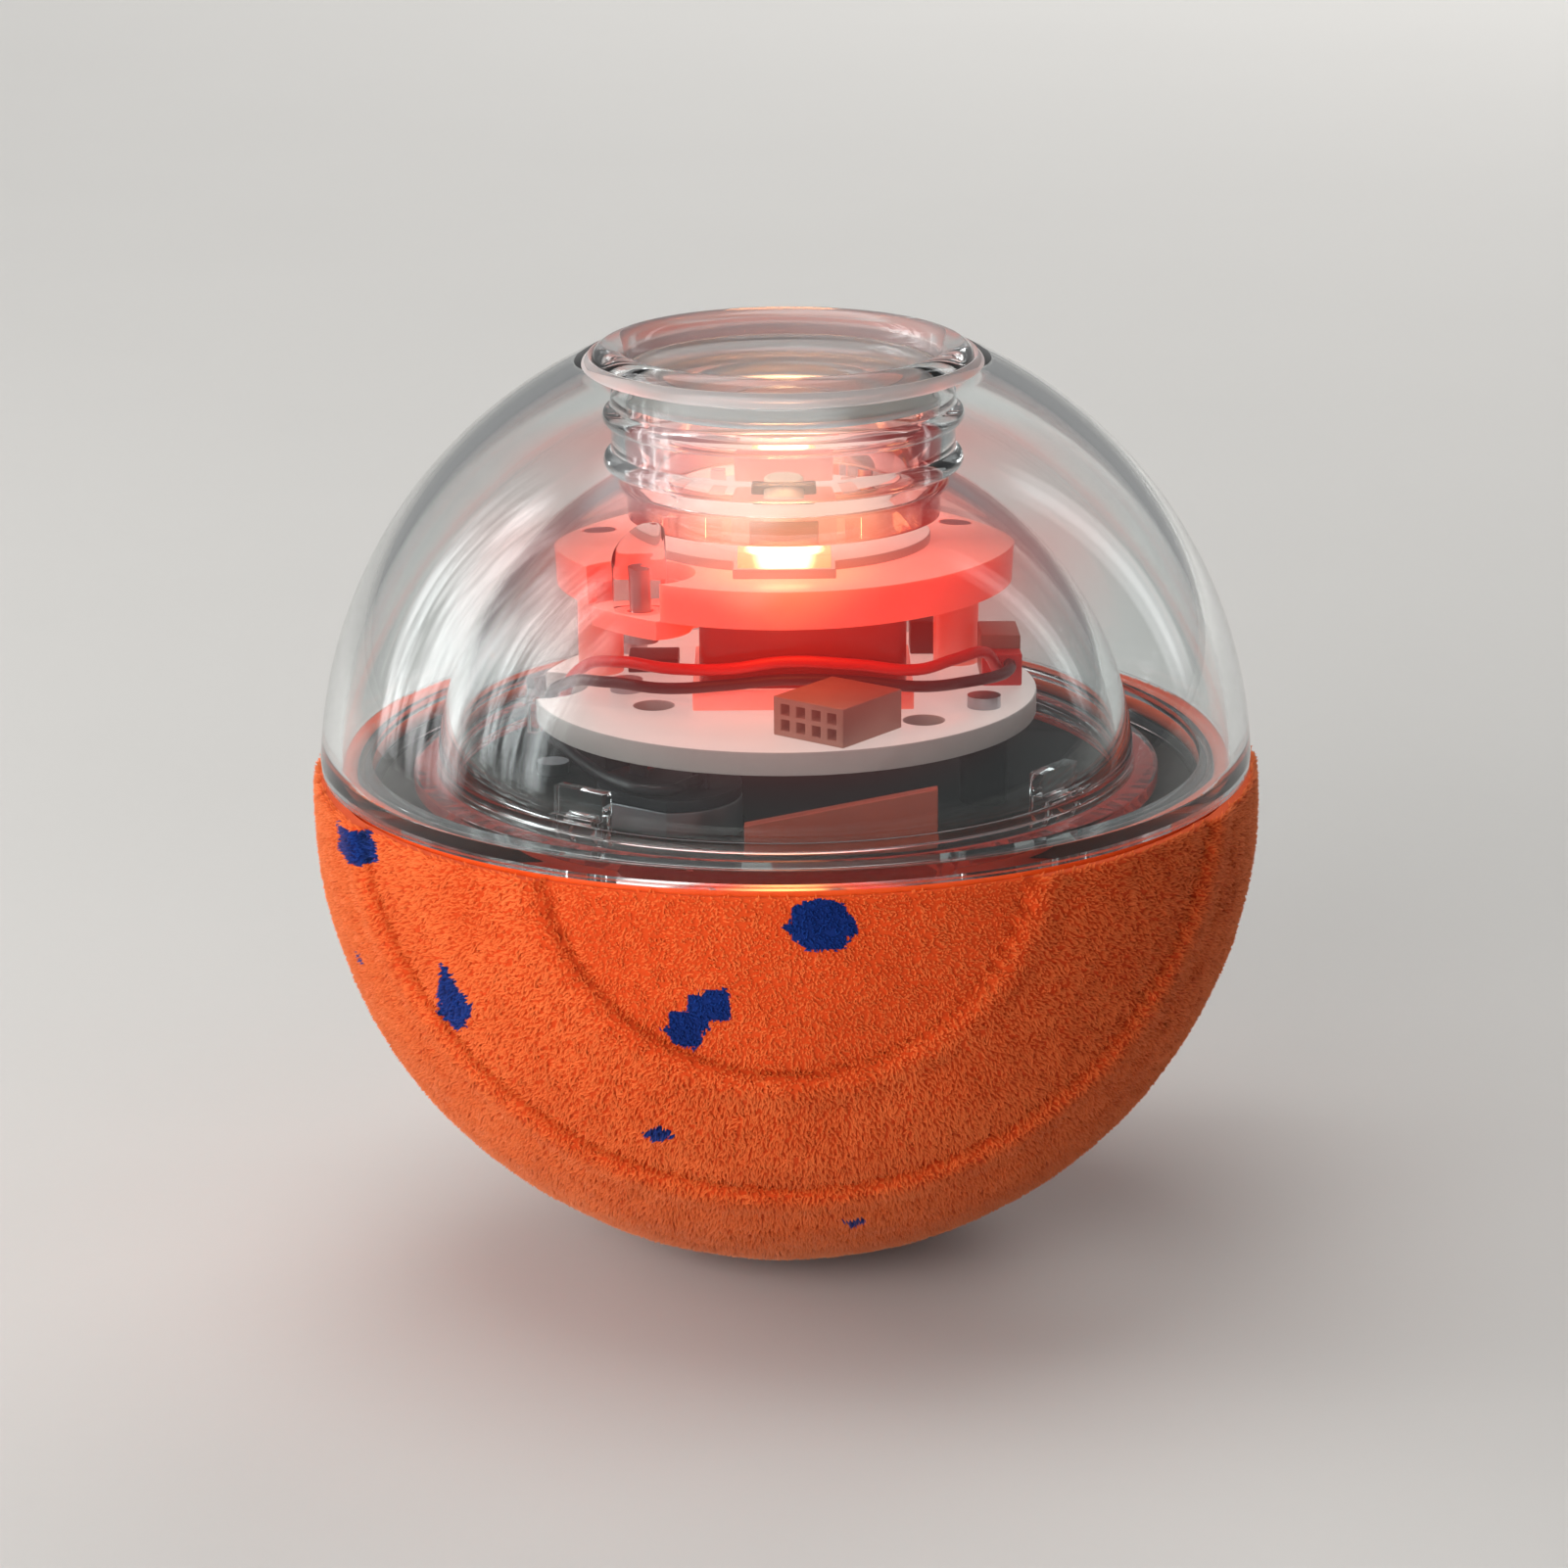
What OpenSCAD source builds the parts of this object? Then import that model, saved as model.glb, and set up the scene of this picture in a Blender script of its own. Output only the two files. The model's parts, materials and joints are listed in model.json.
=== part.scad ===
// Self-rolling dog ball.
// A plush-covered lower shell and a clear dome close round a drive capsule.
// The capsule turns inside them on the ball's upright axis: its motor walks a pinion
// round a gear that is screwed to the bottom of the lower shell.
// Heights inside the modules are measured from the ball's centre. from_floor() lifts
// every piece so that the flat foot of the plush lies at z = 0.

/* [Ball] */
// Outside radius of the plush cover
ball_radius = 41; // [40:0.5:45]
// Depth of the flat foot at the bottom of the plush
foot_depth = 0.5; // [0.3:0.1:0.8]
// Thickness of the plush cover
plush_thickness = 2; // [1.6:0.1:2.4]
// Height of the joint between the halves above the ball's centre
rim_height = 3; // [2.6:0.1:3.6]
// Depth by which the clear dome stands back from the plush
dome_inset = 0.8; // [0.6:0.1:1]
// Depth of the dome's centre below the joint
dome_drop = 1.2; // [0.8:0.1:1.6]
// Wall of the lower shell and of the clear dome
shell_wall = 1.8; // [1.4:0.1:2.2]
// Height of the rubber seal between the halves
seal_height = 1.4; // [1.2:0.1:1.6]
// Depth that the dome's spigot reaches into the lower shell
spigot_depth = 2.2; // [1.8:0.1:3]
// Wall of the dome's spigot
spigot_wall = 1.2; // [0.9:0.1:1.5]

/* [Plush panels] */
// Depth of each step that is pressed into the plush
panel_step = 0.5; // [0.3:0.05:0.6]
// Angular radius of the inner panel
inner_panel_angle = 31; // [26:1:36]
// Angular radius of the outer panel
outer_panel_angle = 63; // [58:1:66]
// Upward tilt of the inner panel's axis
inner_panel_tilt = 11; // [5:1:15]
// Upward tilt of the outer panel's axis
outer_panel_tilt = 23; // [15:1:28]

/* [Crown] */
// Outside radius of the collar tube in the crown of the dome
neck_radius = 14.6; // [14:0.1:15.4]
// Bore radius of the collar tube
neck_bore = 13.3; // [12.6:0.1:13.6]
// Thickness of the collar's rounded lip
lip_thickness = 3; // [2.4:0.1:3.2]
// Depth of the lip's middle below the surface of the dome
lip_sink = 1.4; // [1:0.1:1.6]
// Thickness of the two rings round the collar tube
collar_ring_thickness = 1.8; // [1.4:0.1:2.2]
// Distance between the two rings
collar_ring_pitch = 3.7; // [3:0.1:4]
// Depth of the end cap's skirt
cap_depth = 3.2; // [2.8:0.1:3.8]
// Wall of the end cap
cap_wall = 1.4; // [1.1:0.1:1.6]
// Outside radius of the finger cup in the end cap
cap_cup_radius = 9; // [7:0.1:10]
// Depth of the finger cup below the skirt
cap_cup_drop = 1; // [0.4:0.1:1.6]
// Thickness of the end cap's round seal
cap_seal_thickness = 1.2; // [0.8:0.1:1.4]

/* [Capsule] */
// Outside radius of the clear capsule dome
capsule_radius = 30.2; // [29.6:0.1:31]
// Wall of the capsule dome
capsule_wall = 1.4; // [1.1:0.1:1.8]
// Wall of the capsule's neck
capsule_neck_wall = 1.6; // [1.2:0.1:2]
// Width of the foot flange round the capsule dome
flange_width = 2; // [1.5:0.1:2.5]
// Thickness of the foot flange
flange_thickness = 1.3; // [1:0.1:1.6]
// Thickness of the gasket under the flange
gasket_thickness = 0.5; // [0.3:0.1:0.8]
// Height of the tray's top above the ball's centre
tray_top = 1; // [0.4:0.1:1.4]
// Thickness of the tray
tray_thickness = 2.4; // [1.8:0.1:3]
// Number of latch clips that hold the capsule dome
clip_count = 4; // [3:1:6]
// Width of a latch clip
clip_width = 5; // [4:0.1:6]
// Height of a latch clip
clip_height = 5.4; // [4.8:0.1:6]

/* [Decks] */
// Height of the pillars under the main board
board_pillar_height = 6.2; // [5.6:0.1:7]
// Radius of the main board
board_radius = 21.6; // [20.8:0.1:23]
// Thickness of the main board
board_thickness = 2; // [1.4:0.1:2.2]
// Height of the posts between the main board and the upper deck
deck_spacing = 11.1; // [10.8:0.1:11.6]
// Thickness of the upper deck's plate
deck_thickness = 1.6; // [1.4:0.1:2]
// Depth of the skirt under the upper deck
deck_skirt = 1.5; // [1:0.1:2]
// Wall of the skirt
deck_skirt_wall = 1.2; // [0.8:0.1:1.6]
// Radius of the two clear bosses that the deck is screwed to
boss_radius = 2.2; // [1.9:0.1:2.6]
// Radius of the posts that carry decks and plates
post_radius = 2; // [1.7:0.1:2.4]
// Radius of the screw shanks
screw_radius = 0.8; // [0.6:0.05:0.9]
// Radius of the screw heads
screw_head_radius = 1.4; // [1.2:0.05:1.6]
// Height of the screw heads
screw_head_height = 1; // [0.7:0.1:1.1]
// Length of the screw shanks
screw_length = 5; // [4:0.1:6]

/* [Lamp board] */
// Radius of the lamp board
lamp_board_radius = 12.4; // [12:0.1:13]
// Thickness of the lamp board
lamp_board_thickness = 0.8; // [0.6:0.1:1.2]
// Width of a lamp
lamp_width = 7.6; // [5:0.1:8.6]
// Depth of a lamp from front to back
lamp_size = 4; // [3:0.1:5]
// Height of a lamp
lamp_height = 1.1; // [0.8:0.1:1.8]
// Distance of the lamps from the axis
lamp_distance = 12.4; // [11.6:0.1:12.8]
// Height of the charging socket
socket_height = 5.6; // [4.5:0.1:6.5]
// Side of the switch body
switch_size = 5.6; // [5:0.1:6]
// Height of the switch body
switch_height = 3; // [2.6:0.1:3.6]
// Radius of the push button
button_radius = 1.7; // [1.3:0.1:2]
// Length of the button above the switch body
button_reach = 1.5; // [1:0.1:2]
// Travel of the button
button_travel = 0.4; // [0.2:0.05:0.5]

/* [Battery] */
// Width of the battery
battery_width = 17.4; // [14:0.1:19]
// Depth of the battery from front to back
battery_depth = 14; // [11:0.1:15]
// Height of the battery
battery_height = 10.2; // [9:0.1:10.6]
// Wall of the battery's cradle
cradle_wall = 0.6; // [0.4:0.1:0.8]
// Height of the cradle
cradle_height = 1.8; // [1.2:0.1:2.4]

/* [Main board parts] */
// Width of the pin socket block
pin_block_width = 7.2; // [6:0.1:7.6]
// Depth of the pin socket block
pin_block_depth = 8; // [6.5:0.1:8.2]
// Height of the pin socket block
pin_block_height = 3.3; // [2.6:0.1:3.4]
// Pin holes in a row of the block
pin_columns = 4; // [2:1:4]
// Width of the lead socket
lead_socket_width = 3.4; // [3:0.1:3.8]
// Height of the lead socket
lead_socket_height = 4; // [3.4:0.1:4.6]
// Radius of the two leads
lead_radius = 0.5; // [0.4:0.02:0.54]

/* [Drive] */
// Gear module
gear_module = 0.6; // [0.5:0.02:0.64]
// Teeth of the gear on the lower shell
ring_teeth = 42; // [36:1:44]
// Teeth of the motor pinion
pinion_teeth = 14; // [14:1:18]
// Width of the gears
gear_width = 4; // [3:0.1:5]
// Play between gear teeth at the pitch circle
gear_play = 0.16; // [0.1:0.01:0.24]
// Radius of the axle pin
axle_radius = 1.5; // [1.2:0.05:1.8]
// Length of the pillars between the tray and the gear plate
plate_pillar_length = 17.6; // [16:0.1:19]
// Radius of the gear plate
plate_radius = 23.5; // [23.4:0.1:25]
// Thickness of the gear plate
plate_thickness = 2; // [1.4:0.1:2.6]
// Thickness of the motor across its flats
motor_flats = 10; // [9:0.1:11]
// Diameter of the motor can
motor_diameter = 12; // [11:0.1:12.6]
// Length of the motor can
motor_length = 13.6; // [12:0.1:14.6]
// Height of the gearbox under the motor
gearbox_height = 9; // [7.5:0.1:9.6]
// Radius of the motor shaft
shaft_radius = 1.5; // [1.2:0.05:1.6]
// Inner radius of the counterweight
weight_inner_radius = 25; // [24:0.1:26]
// Radial thickness of the counterweight
weight_thickness = 5; // [3:0.1:5.6]
// Height of the counterweight
weight_height = 10.4; // [7:0.1:12]
// Sweep angle of the counterweight
weight_sweep = 60; // [40:1:80]

/* [Hidden] */
$fn = 96;

// Fits
fit = 0.05;
running_gap = 0.1;
clear_gap = 0.3;
wide_gap = 0.5;
// Overlap that fuses two shapes of one solid
weld = 0.2;
// Length that reaches through any plate it cuts
through = 60;
// Length by which a cut passes the face that it opens
past = 1;

// Shells
centre_height = ball_radius - foot_depth;
shell_radius = ball_radius - plush_thickness;
shell_inside = shell_radius - shell_wall;
seat_height = rim_height - seal_height;
spigot_radius = shell_inside - clear_gap;
spigot_bore = spigot_radius - spigot_wall;
seal_bulge = seal_height / 2;
lip_roll = plush_thickness / 2 - clear_gap / 2;
roll_height = rim_height - clear_gap - lip_roll;
dome_radius = ball_radius - dome_inset;
dome_inside = dome_radius - shell_wall;
dome_centre = rim_height - dome_drop;

// Crown
function sphere_height(radius, at) = sqrt(radius * radius - at * at);
lip_centre = dome_centre + sphere_height(dome_radius, neck_radius) - lip_sink;
lip_circle = neck_bore + lip_thickness / 2;
collar_foot = tray_top + sphere_height(capsule_radius, neck_bore) + clear_gap;
cap_radius = neck_bore - running_gap;
cap_rim = lip_centre - wide_gap;
cap_foot = cap_rim - cap_depth;
cap_seal_radius = cap_radius - cap_seal_thickness / 2 + fit;

// Capsule
capsule_inside = capsule_radius - capsule_wall;
tray_radius = spigot_bore - wide_gap;
tray_bottom = tray_top - tray_thickness;
flange_foot = tray_top + gasket_thickness;
flange_radius = capsule_radius + flange_width;
capsule_neck_radius = neck_bore - running_gap;
capsule_neck_bore = capsule_neck_radius - capsule_neck_wall;
capsule_neck_top = cap_foot - cap_cup_drop - wide_gap;
bead_height = 0.8;
bead_reach = 0.7;
bead_foot = flange_foot + flange_thickness;
clip_thickness = 1.2;
clip_face = capsule_inside - bead_reach - clear_gap;
clip_bar = 1.1;
clip_nose_foot = bead_foot + bead_height + fit;
clip_start_angle = -37;

// Decks
board_foot = tray_top + board_pillar_height;
board_top = board_foot + board_thickness;
deck_foot = board_top + deck_spacing;
deck_top = deck_foot + deck_thickness;
skirt_foot = deck_foot - deck_skirt;
deck_radius = sphere_height(capsule_inside, deck_top - tray_top) - wide_gap;
boss_inset = 2.3;
boss_circle = deck_radius - boss_inset;
boss_angles = [226, 60];
ear_radius = 4.2;
ear_thickness = 1.6;
ear_foot = skirt_foot - ear_thickness;
ear_width = 6;
ear_web = 1.4;
// The ears point inwards and stop short of the battery's corners
battery_place = [1.5, -1];
battery_reach = max([
    for (a = boss_angles, x = [-0.5, 0.5], y = [-0.5, 0.5])
        (battery_place + [x * battery_width, y * battery_depth]) * [cos(a), sin(a)]
]);
ear_reach = boss_circle - battery_reach - clear_gap;
boss_room = ear_reach - ear_web;
shank_gap = 0.15;
screw_room = screw_radius + shank_gap;
head_room = screw_head_radius + running_gap;
deck_post_inset = 2.4;
deck_post_circle = deck_radius - deck_post_inset;
deck_post_angles = [162, 27, 90];
deck_post_places = [for (a = deck_post_angles) deck_post_circle * [cos(a), sin(a)]];
// Three posts stand near the edge of the main board, and one beside the battery
board_post_inset = 3.2;
board_post_circle = board_radius - board_post_inset;
board_post_angles = [75, 138, 335];
inner_post_place = [-13.6, -1.6];
board_post_places = [
    inner_post_place,
    for (a = board_post_angles) board_post_circle * [cos(a), sin(a)]
];
board_hole_radius = 1.7;
board_hole_places = [[-11.1, -6.6], [11.5, -11.9]];
board_notch_radius = 4.6;
board_notch_place = [-board_radius, 0.4];

// Lamp board
lamp_foot = deck_top + lamp_board_thickness;
lamp_edge = 0.6;
lens_rise = 0.2;
wing_margin = 0.4;
capsule_neck_foot = lamp_foot + lamp_height + lens_rise + running_gap;
socket_width = 9;
socket_depth = 3.2;
socket_wall = 0.35;
socket_floor = 1;
socket_place = [0, 4.2];
tongue_size = [6.4, 0.7];
switch_place = [0, -2.8];
button_depth = 1.6;
tab_places = [[5.8, 1], [-9.6, 1.4], [-6, 4]];
tab_size = [1.4, 1.4, 3];

// Battery
pad_thickness = deck_spacing - battery_height;

// Main board parts
pin_block_place = [4.3, -15.2];
pin_block_turn = -38;
pin_hole = 0.9;
pin_hole_depth = 2;
pin_row_heights = [0.3, 0.7];
pin_pitch = 1.6;
lead_socket_place = [18.6, 3.6];
lead_socket_length = 5.4;
lead_plug_length = 2.2;
lead_plug_height = 2.8;
coil_place = [13, 12];
coil_size = [3.8, 3.8, 3];
chip_place = [-11.5, 6.5];
chip_size = [4.4, 4.4, 1.2];
timer_place = [7, 14];
timer_size = [4.8, 3.6, 1.2];
baffle_ends = [-3.4, 12.2];
baffle_heights = [2.8, 5.8];
baffle_inset = 5.8;
baffle_face = baffle_inset - capsule_inside;
baffle_thickness = 1.2;

// Leads: points of the two routes, from the plug past the battery to the motor
red_route = [
    [18, -1.3, 11.2], [18, -1.9, 11.2], [18, -2.5, 11.2], [16.8, -5, 13.2], [14.2, -7.4, 13.2],
    [11, -9.2, 12.8], [6, -9.3, 13.3], [0, -9.3, 13.6], [-5, -9.3, 13], [-9.6, -8.2, 12.8],
    [-14, -5, 12.6], [-17.4, -1.6, 11.2], [-19, 0.2, 8.2], [-18.4, -2, 5.7], [-15.6, -5.6, 5.3],
    [-12, -8, 5.3], [-10.8, -9.88, 5.3], [-11.4, -10.74, 5.3], [-12, -11.6, 5.3]
];
black_route = [
    [19.2, -1.3, 11.2], [19.2, -1.9, 11.2], [19.2, -2.5, 11.2], [18.2, -5, 11.2], [15.6, -7.4, 11.3],
    [11.6, -9.4, 11.4], [6, -9, 11.8], [0, -9.1, 12], [-5, -9.2, 11.6], [-9.8, -9.4, 11.4],
    [-15, -6.4, 11.2], [-18.6, -2.8, 10.2], [-20.4, -0.6, 8], [-20, -3, 5.8], [-18.2, -7.2, 5.3],
    [-16.4, -11.6, 5.3], [-14.2, -15.8, 5.3], [-11.2, -18.8, 5.3], [-9.1, -18.6, 5.3],
    [-8.45, -17.67, 5.3], [-7.85, -16.81, 5.3], [-7.25, -15.95, 5.3]
];
lead_sides = 8;
lead_steps = 3;

// Drive
motor_angle = 235;
gear_distance = gear_module * (ring_teeth + pinion_teeth) / 2;
motor_place = gear_distance * [cos(motor_angle), sin(motor_angle)];
pressure_angle = 20;
tooth_tip = 0.8 * gear_module;
tooth_root = 1.15 * gear_module;
flank_steps = 4;
plate_top = tray_bottom - plate_pillar_length;
plate_foot = plate_top - plate_thickness;
bush_flange = 0.6;
bush_wall = 1.5;
bush_reach = 2.4;
bush_foot = plate_foot - bush_flange;
bush_top = plate_top + bush_reach;
washer_thickness = 1;
washer_radius = 4.2;
gear_top = bush_foot - running_gap - washer_thickness;
gear_foot = gear_top - gear_width;
hub_radius = 9.4;
hub_pin_depth = 7;
gear_screw_circle = 7;
gear_screw_count = 3;
clip_ring_thickness = 0.6;
clip_ring_radius = 2.8;
axle_top = bush_top + running_gap + clip_ring_thickness + wide_gap;
axle_bore = axle_radius + fit;
bush_radius = axle_bore + bush_wall;
pillar_circle = 20.4;
pillar_angles = [175, 295, 55];
plate_window_circle = 13.6;
plate_window_radius = 6.2;
plate_window_angles = [10, 100, 145];
shaft_room = shaft_radius + 0.8;
shaft_seat = 3;
can_foot = plate_top + gearbox_height;
can_top = can_foot + motor_length;
can_wall = 0.7;
motor_end_height = 1;
motor_tab_size = [0.5, 1.6, 1.4];
motor_tab_offset = 3.2;
motor_room = 0.4;
rib_inset = 2;
rib_wall = 1.2;
rib_depth = 3;
rib_radius = tray_radius - rib_inset - rib_wall;
weight_screw_spread = 18;

module from_floor() {
    translate([0, 0, centre_height]) children();
}

// Part of the plane to the right of the axis, between two heights
module half_plane(low, high, reach = 2 * ball_radius) {
    translate([0, low]) square([reach, high - low]);
}

module ring(outer, inner, low, high) {
    difference() {
        translate([0, 0, low]) cylinder(r = outer, h = high - low);
        translate([0, 0, low - past]) cylinder(r = inner, h = high - low + 2 * past);
    }
}

module rod(radius, low, high) {
    translate([0, 0, low]) cylinder(r = radius, h = high - low);
}

module round_ring(circle_radius, thickness, at) {
    translate([0, 0, at]) rotate_extrude() translate([circle_radius, 0]) circle(d = thickness);
}

module block(size, at, low) {
    translate([at[0] - size[0] / 2, at[1] - size[1] / 2, low]) cube(size);
}

module at_place(place) {
    translate([place[0], place[1], 0]) children();
}

module at_bosses() {
    for (a = boss_angles) rotate(a) translate([boss_circle, 0, 0]) children();
}

module at_motor() {
    rotate(motor_angle) translate([gear_distance, 0, 0]) children();
}

// Screw whose shank hangs below the underside of its head
module screw(seat) {
    rod(screw_head_radius, seat, seat + screw_head_height);
    rod(screw_radius, seat - screw_length, seat + weld);
}

// Turns a screw over, so that it is driven upwards from below
module screw_up(seat) {
    mirror([0, 0, 1]) screw(-seat);
}

// Gear teeth: flanks are involutes of the base circle
function involute(angle) = tan(angle) * 180 / PI - angle;
function flank_angle(pitch, base, teeth, radius) =
    90 / teeth - gear_play / 4 / pitch * 180 / PI
    + involute(pressure_angle) - involute(acos(min(1, base / radius)));
function polar(radius, angle) = radius * [cos(angle), sin(angle)];

module gear_outline(teeth) {
    pitch = gear_module * teeth / 2;
    base = pitch * cos(pressure_angle);
    tip = pitch + tooth_tip;
    root = pitch - tooth_root;
    start = max(base, root);
    radii = [root, for (i = [0 : flank_steps]) start + (tip - start) * i / flank_steps];
    halves = [for (r = radii) flank_angle(pitch, base, teeth, max(r, start))];
    last = len(radii) - 1;
    polygon([
        for (tooth = [0 : teeth - 1], side = [-1, 1], i = [0 : last])
            let (k = side < 0 ? i : last - i)
            polar(radii[k], 360 * tooth / teeth + side * halves[k])
    ]);
}

// Smooth curve through the points of a route
function curve_point(a, b, c, d, t) =
    0.5 * (2 * b + (c - a) * t + (2 * a - 5 * b + 4 * c - d) * t * t
    + (3 * b - a - 3 * c + d) * t * t * t);
function route_curve(points, steps) = [
    for (i = [0 : len(points) - 2], j = [0 : steps - 1])
        curve_point(
            points[max(i - 1, 0)], points[i], points[i + 1],
            points[min(i + 2, len(points) - 1)], j / steps
        ),
    points[len(points) - 1]
];
function unit(v) = v / norm(v);
function curve_direction(curve, i) =
    unit(curve[min(i + 1, len(curve) - 1)] - curve[max(i - 1, 0)]);
// Side vectors that are carried along the curve without twisting
function carried_sides(curve, i, side) =
    let (along = curve_direction(curve, i), flat = unit(side - (side * along) * along))
    i == len(curve) - 1 ? [flat] : concat([flat], carried_sides(curve, i + 1, flat));

module lead(route) {
    curve = route_curve(route, lead_steps);
    sides = carried_sides(curve, 0, [0, 0, 1]);
    last = len(curve) - 1;
    points = [
        for (i = [0 : last], k = [0 : lead_sides - 1])
            let (across = cross(curve_direction(curve, i), sides[i]), turn = 360 * k / lead_sides)
            curve[i] + lead_radius * (cos(turn) * sides[i] + sin(turn) * across)
    ];
    walls = [
        for (i = [0 : last - 1], k = [0 : lead_sides - 1], half = [0, 1])
            let (
                next = (k + 1) % lead_sides,
                a = i * lead_sides + k,
                b = i * lead_sides + next
            )
            half == 0 ? [a, a + lead_sides, b] : [b, a + lead_sides, b + lead_sides]
    ];
    first_end = [for (k = [1 : lead_sides - 2]) [0, k, k + 1]];
    final = last * lead_sides;
    last_end = [for (k = [1 : lead_sides - 2]) [final, final + k + 1, final + k]];
    polyhedron(points, concat(walls, first_end, last_end), convexity = 6);
}

// Lower shell with the hub that carries the axle pin and the drive gear
module lower_shell() {
    color("dimgray") from_floor() difference() {
        union() {
            rotate_extrude() difference() {
                intersection() {
                    circle(r = shell_radius);
                    half_plane(-shell_radius, seat_height);
                }
                circle(r = shell_inside);
            }
            intersection() {
                sphere(r = shell_radius - shell_wall / 2);
                rod(hub_radius, -shell_radius, gear_foot);
            }
        }
        rod(axle_radius, gear_foot - hub_pin_depth, gear_foot + past);
        for (i = [0 : gear_screw_count - 1])
            rotate(360 * i / gear_screw_count) translate([gear_screw_circle, 0, 0])
                rod(screw_radius, gear_top - screw_head_height - screw_length, gear_foot + past);
    }
}

// Layer that is pressed out of the plush, round about an axis tilted up from the front
module pressed_panel(angle, tilt, depth) {
    reach = 2 * ball_radius;
    rotate([90 - tilt, 0, 0]) rotate_extrude() intersection() {
        difference() {
            circle(r = ball_radius + past);
            circle(r = ball_radius - depth);
        }
        polygon([[0, 0], reach * [sin(angle), cos(angle)], [0, reach]]);
    }
}

module plush_cover() {
    color("orangered") from_floor() difference() {
        rotate_extrude() {
            difference() {
                intersection() {
                    circle(r = ball_radius);
                    half_plane(foot_depth - ball_radius, roll_height);
                }
                circle(r = shell_radius);
                translate([0, -lip_roll / 2]) square([shell_radius, 2 * rim_height]);
            }
            translate([shell_radius + clear_gap + lip_roll, roll_height]) circle(r = lip_roll);
        }
        for (turn = [0, 180]) rotate(turn) {
            pressed_panel(outer_panel_angle, outer_panel_tilt, panel_step);
            pressed_panel(inner_panel_angle, inner_panel_tilt, 2 * panel_step);
        }
    }
}

// Rubber seal on the rim of the lower shell, with a rounded inner edge
module seal_ring() {
    color("darkorange") from_floor() rotate_extrude() {
        translate([shell_inside + seal_bulge, seat_height])
            square([shell_wall - seal_bulge - running_gap, seal_height]);
        translate([shell_inside + seal_bulge, seat_height + seal_bulge]) circle(r = seal_bulge);
    }
}

module drive_gear() {
    color("ivory") from_floor() difference() {
        translate([0, 0, gear_foot]) rotate(motor_angle)
            linear_extrude(gear_width) gear_outline(ring_teeth);
        rod(axle_radius, gear_foot - past, gear_top + past);
        for (i = [0 : gear_screw_count - 1])
            rotate(360 * i / gear_screw_count) translate([gear_screw_circle, 0, 0]) {
                rod(screw_room, gear_foot - past, gear_top + past);
                rod(head_room, gear_top - screw_head_height, gear_top + past);
            }
    }
}

module gear_screws() {
    color("silver") from_floor() for (i = [0 : gear_screw_count - 1])
        rotate(360 * i / gear_screw_count) translate([gear_screw_circle, 0, 0])
            screw(gear_top - screw_head_height);
}

module axle_pin() {
    color("silver") from_floor() rod(axle_radius, gear_foot - hub_pin_depth, axle_top);
}

module axle_clip() {
    foot = bush_top + running_gap;
    color("gray") from_floor()
        ring(clip_ring_radius, axle_radius, foot, foot + clip_ring_thickness);
}

module thrust_washer() {
    color("white") from_floor()
        ring(washer_radius, axle_radius, gear_top, gear_top + washer_thickness);
}

// Clear upper half with the spigot that plugs into the lower shell
module clear_dome() {
    color("aliceblue", 0.3) from_floor() difference() {
        rotate_extrude() {
            translate([0, dome_centre]) difference() {
                intersection() {
                    circle(r = dome_radius);
                    half_plane(dome_drop, dome_radius);
                }
                circle(r = dome_inside);
            }
            translate([spigot_bore, rim_height - spigot_depth]) square([spigot_wall, spigot_depth + weld]);
            translate([spigot_bore, rim_height]) square([dome_inside - spigot_bore + weld, spigot_wall]);
        }
        rod(neck_radius, rim_height + shell_wall, rim_height + 2 * dome_radius);
        round_ring(lip_circle, lip_thickness, lip_centre);
    }
}

// Collar in the crown: a rounded lip, a tube and two rings round the tube
module crown_collar() {
    color("aliceblue", 0.3) from_floor() difference() {
        union() {
            rod(neck_radius, collar_foot, lip_centre);
            round_ring(lip_circle, lip_thickness, lip_centre);
            for (i = [0, 1]) round_ring(
                neck_radius - weld, collar_ring_thickness,
                collar_foot + collar_ring_thickness / 2 + i * collar_ring_pitch
            );
        }
        rod(neck_bore, collar_foot - past, lip_centre + lip_thickness);
    }
}

// Dished plug with a finger cup that closes the collar
module end_cap() {
    cup_foot = cap_foot - cap_cup_drop;
    color("aliceblue", 0.3) from_floor() difference() {
        union() {
            ring(cap_radius, cap_radius - cap_wall, cap_foot, cap_rim);
            ring(cap_radius - cap_wall + weld, cap_cup_radius - weld, cap_rim - 2 * cap_wall, cap_rim - cap_wall);
            rod(cap_cup_radius, cup_foot + cap_wall, cap_rim - cap_wall);
            rod(cap_cup_radius - cap_wall, cup_foot, cap_rim - cap_wall);
            round_ring(cap_cup_radius - cap_wall, 2 * cap_wall, cup_foot + cap_wall);
        }
        rod(cap_cup_radius - cap_wall, cup_foot + cap_wall, cap_rim + past);
        round_ring(cap_seal_radius, cap_seal_thickness, (cap_foot + cap_rim - cap_wall) / 2);
    }
}

module cap_seal() {
    color("whitesmoke") from_floor()
        round_ring(cap_seal_radius, cap_seal_thickness, (cap_foot + cap_rim - cap_wall) / 2);
}

// Space of the counterweight under the tray, with a margin all round
module weight_sector(margin, top) {
    angle = weight_sweep + 2 * margin / weight_inner_radius * 180 / PI;
    rotate(motor_angle - angle / 2) rotate_extrude(angle = angle)
        translate([weight_inner_radius - margin, top - weight_height - margin])
            square([weight_thickness + 2 * margin, weight_height + margin]);
}

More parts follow.
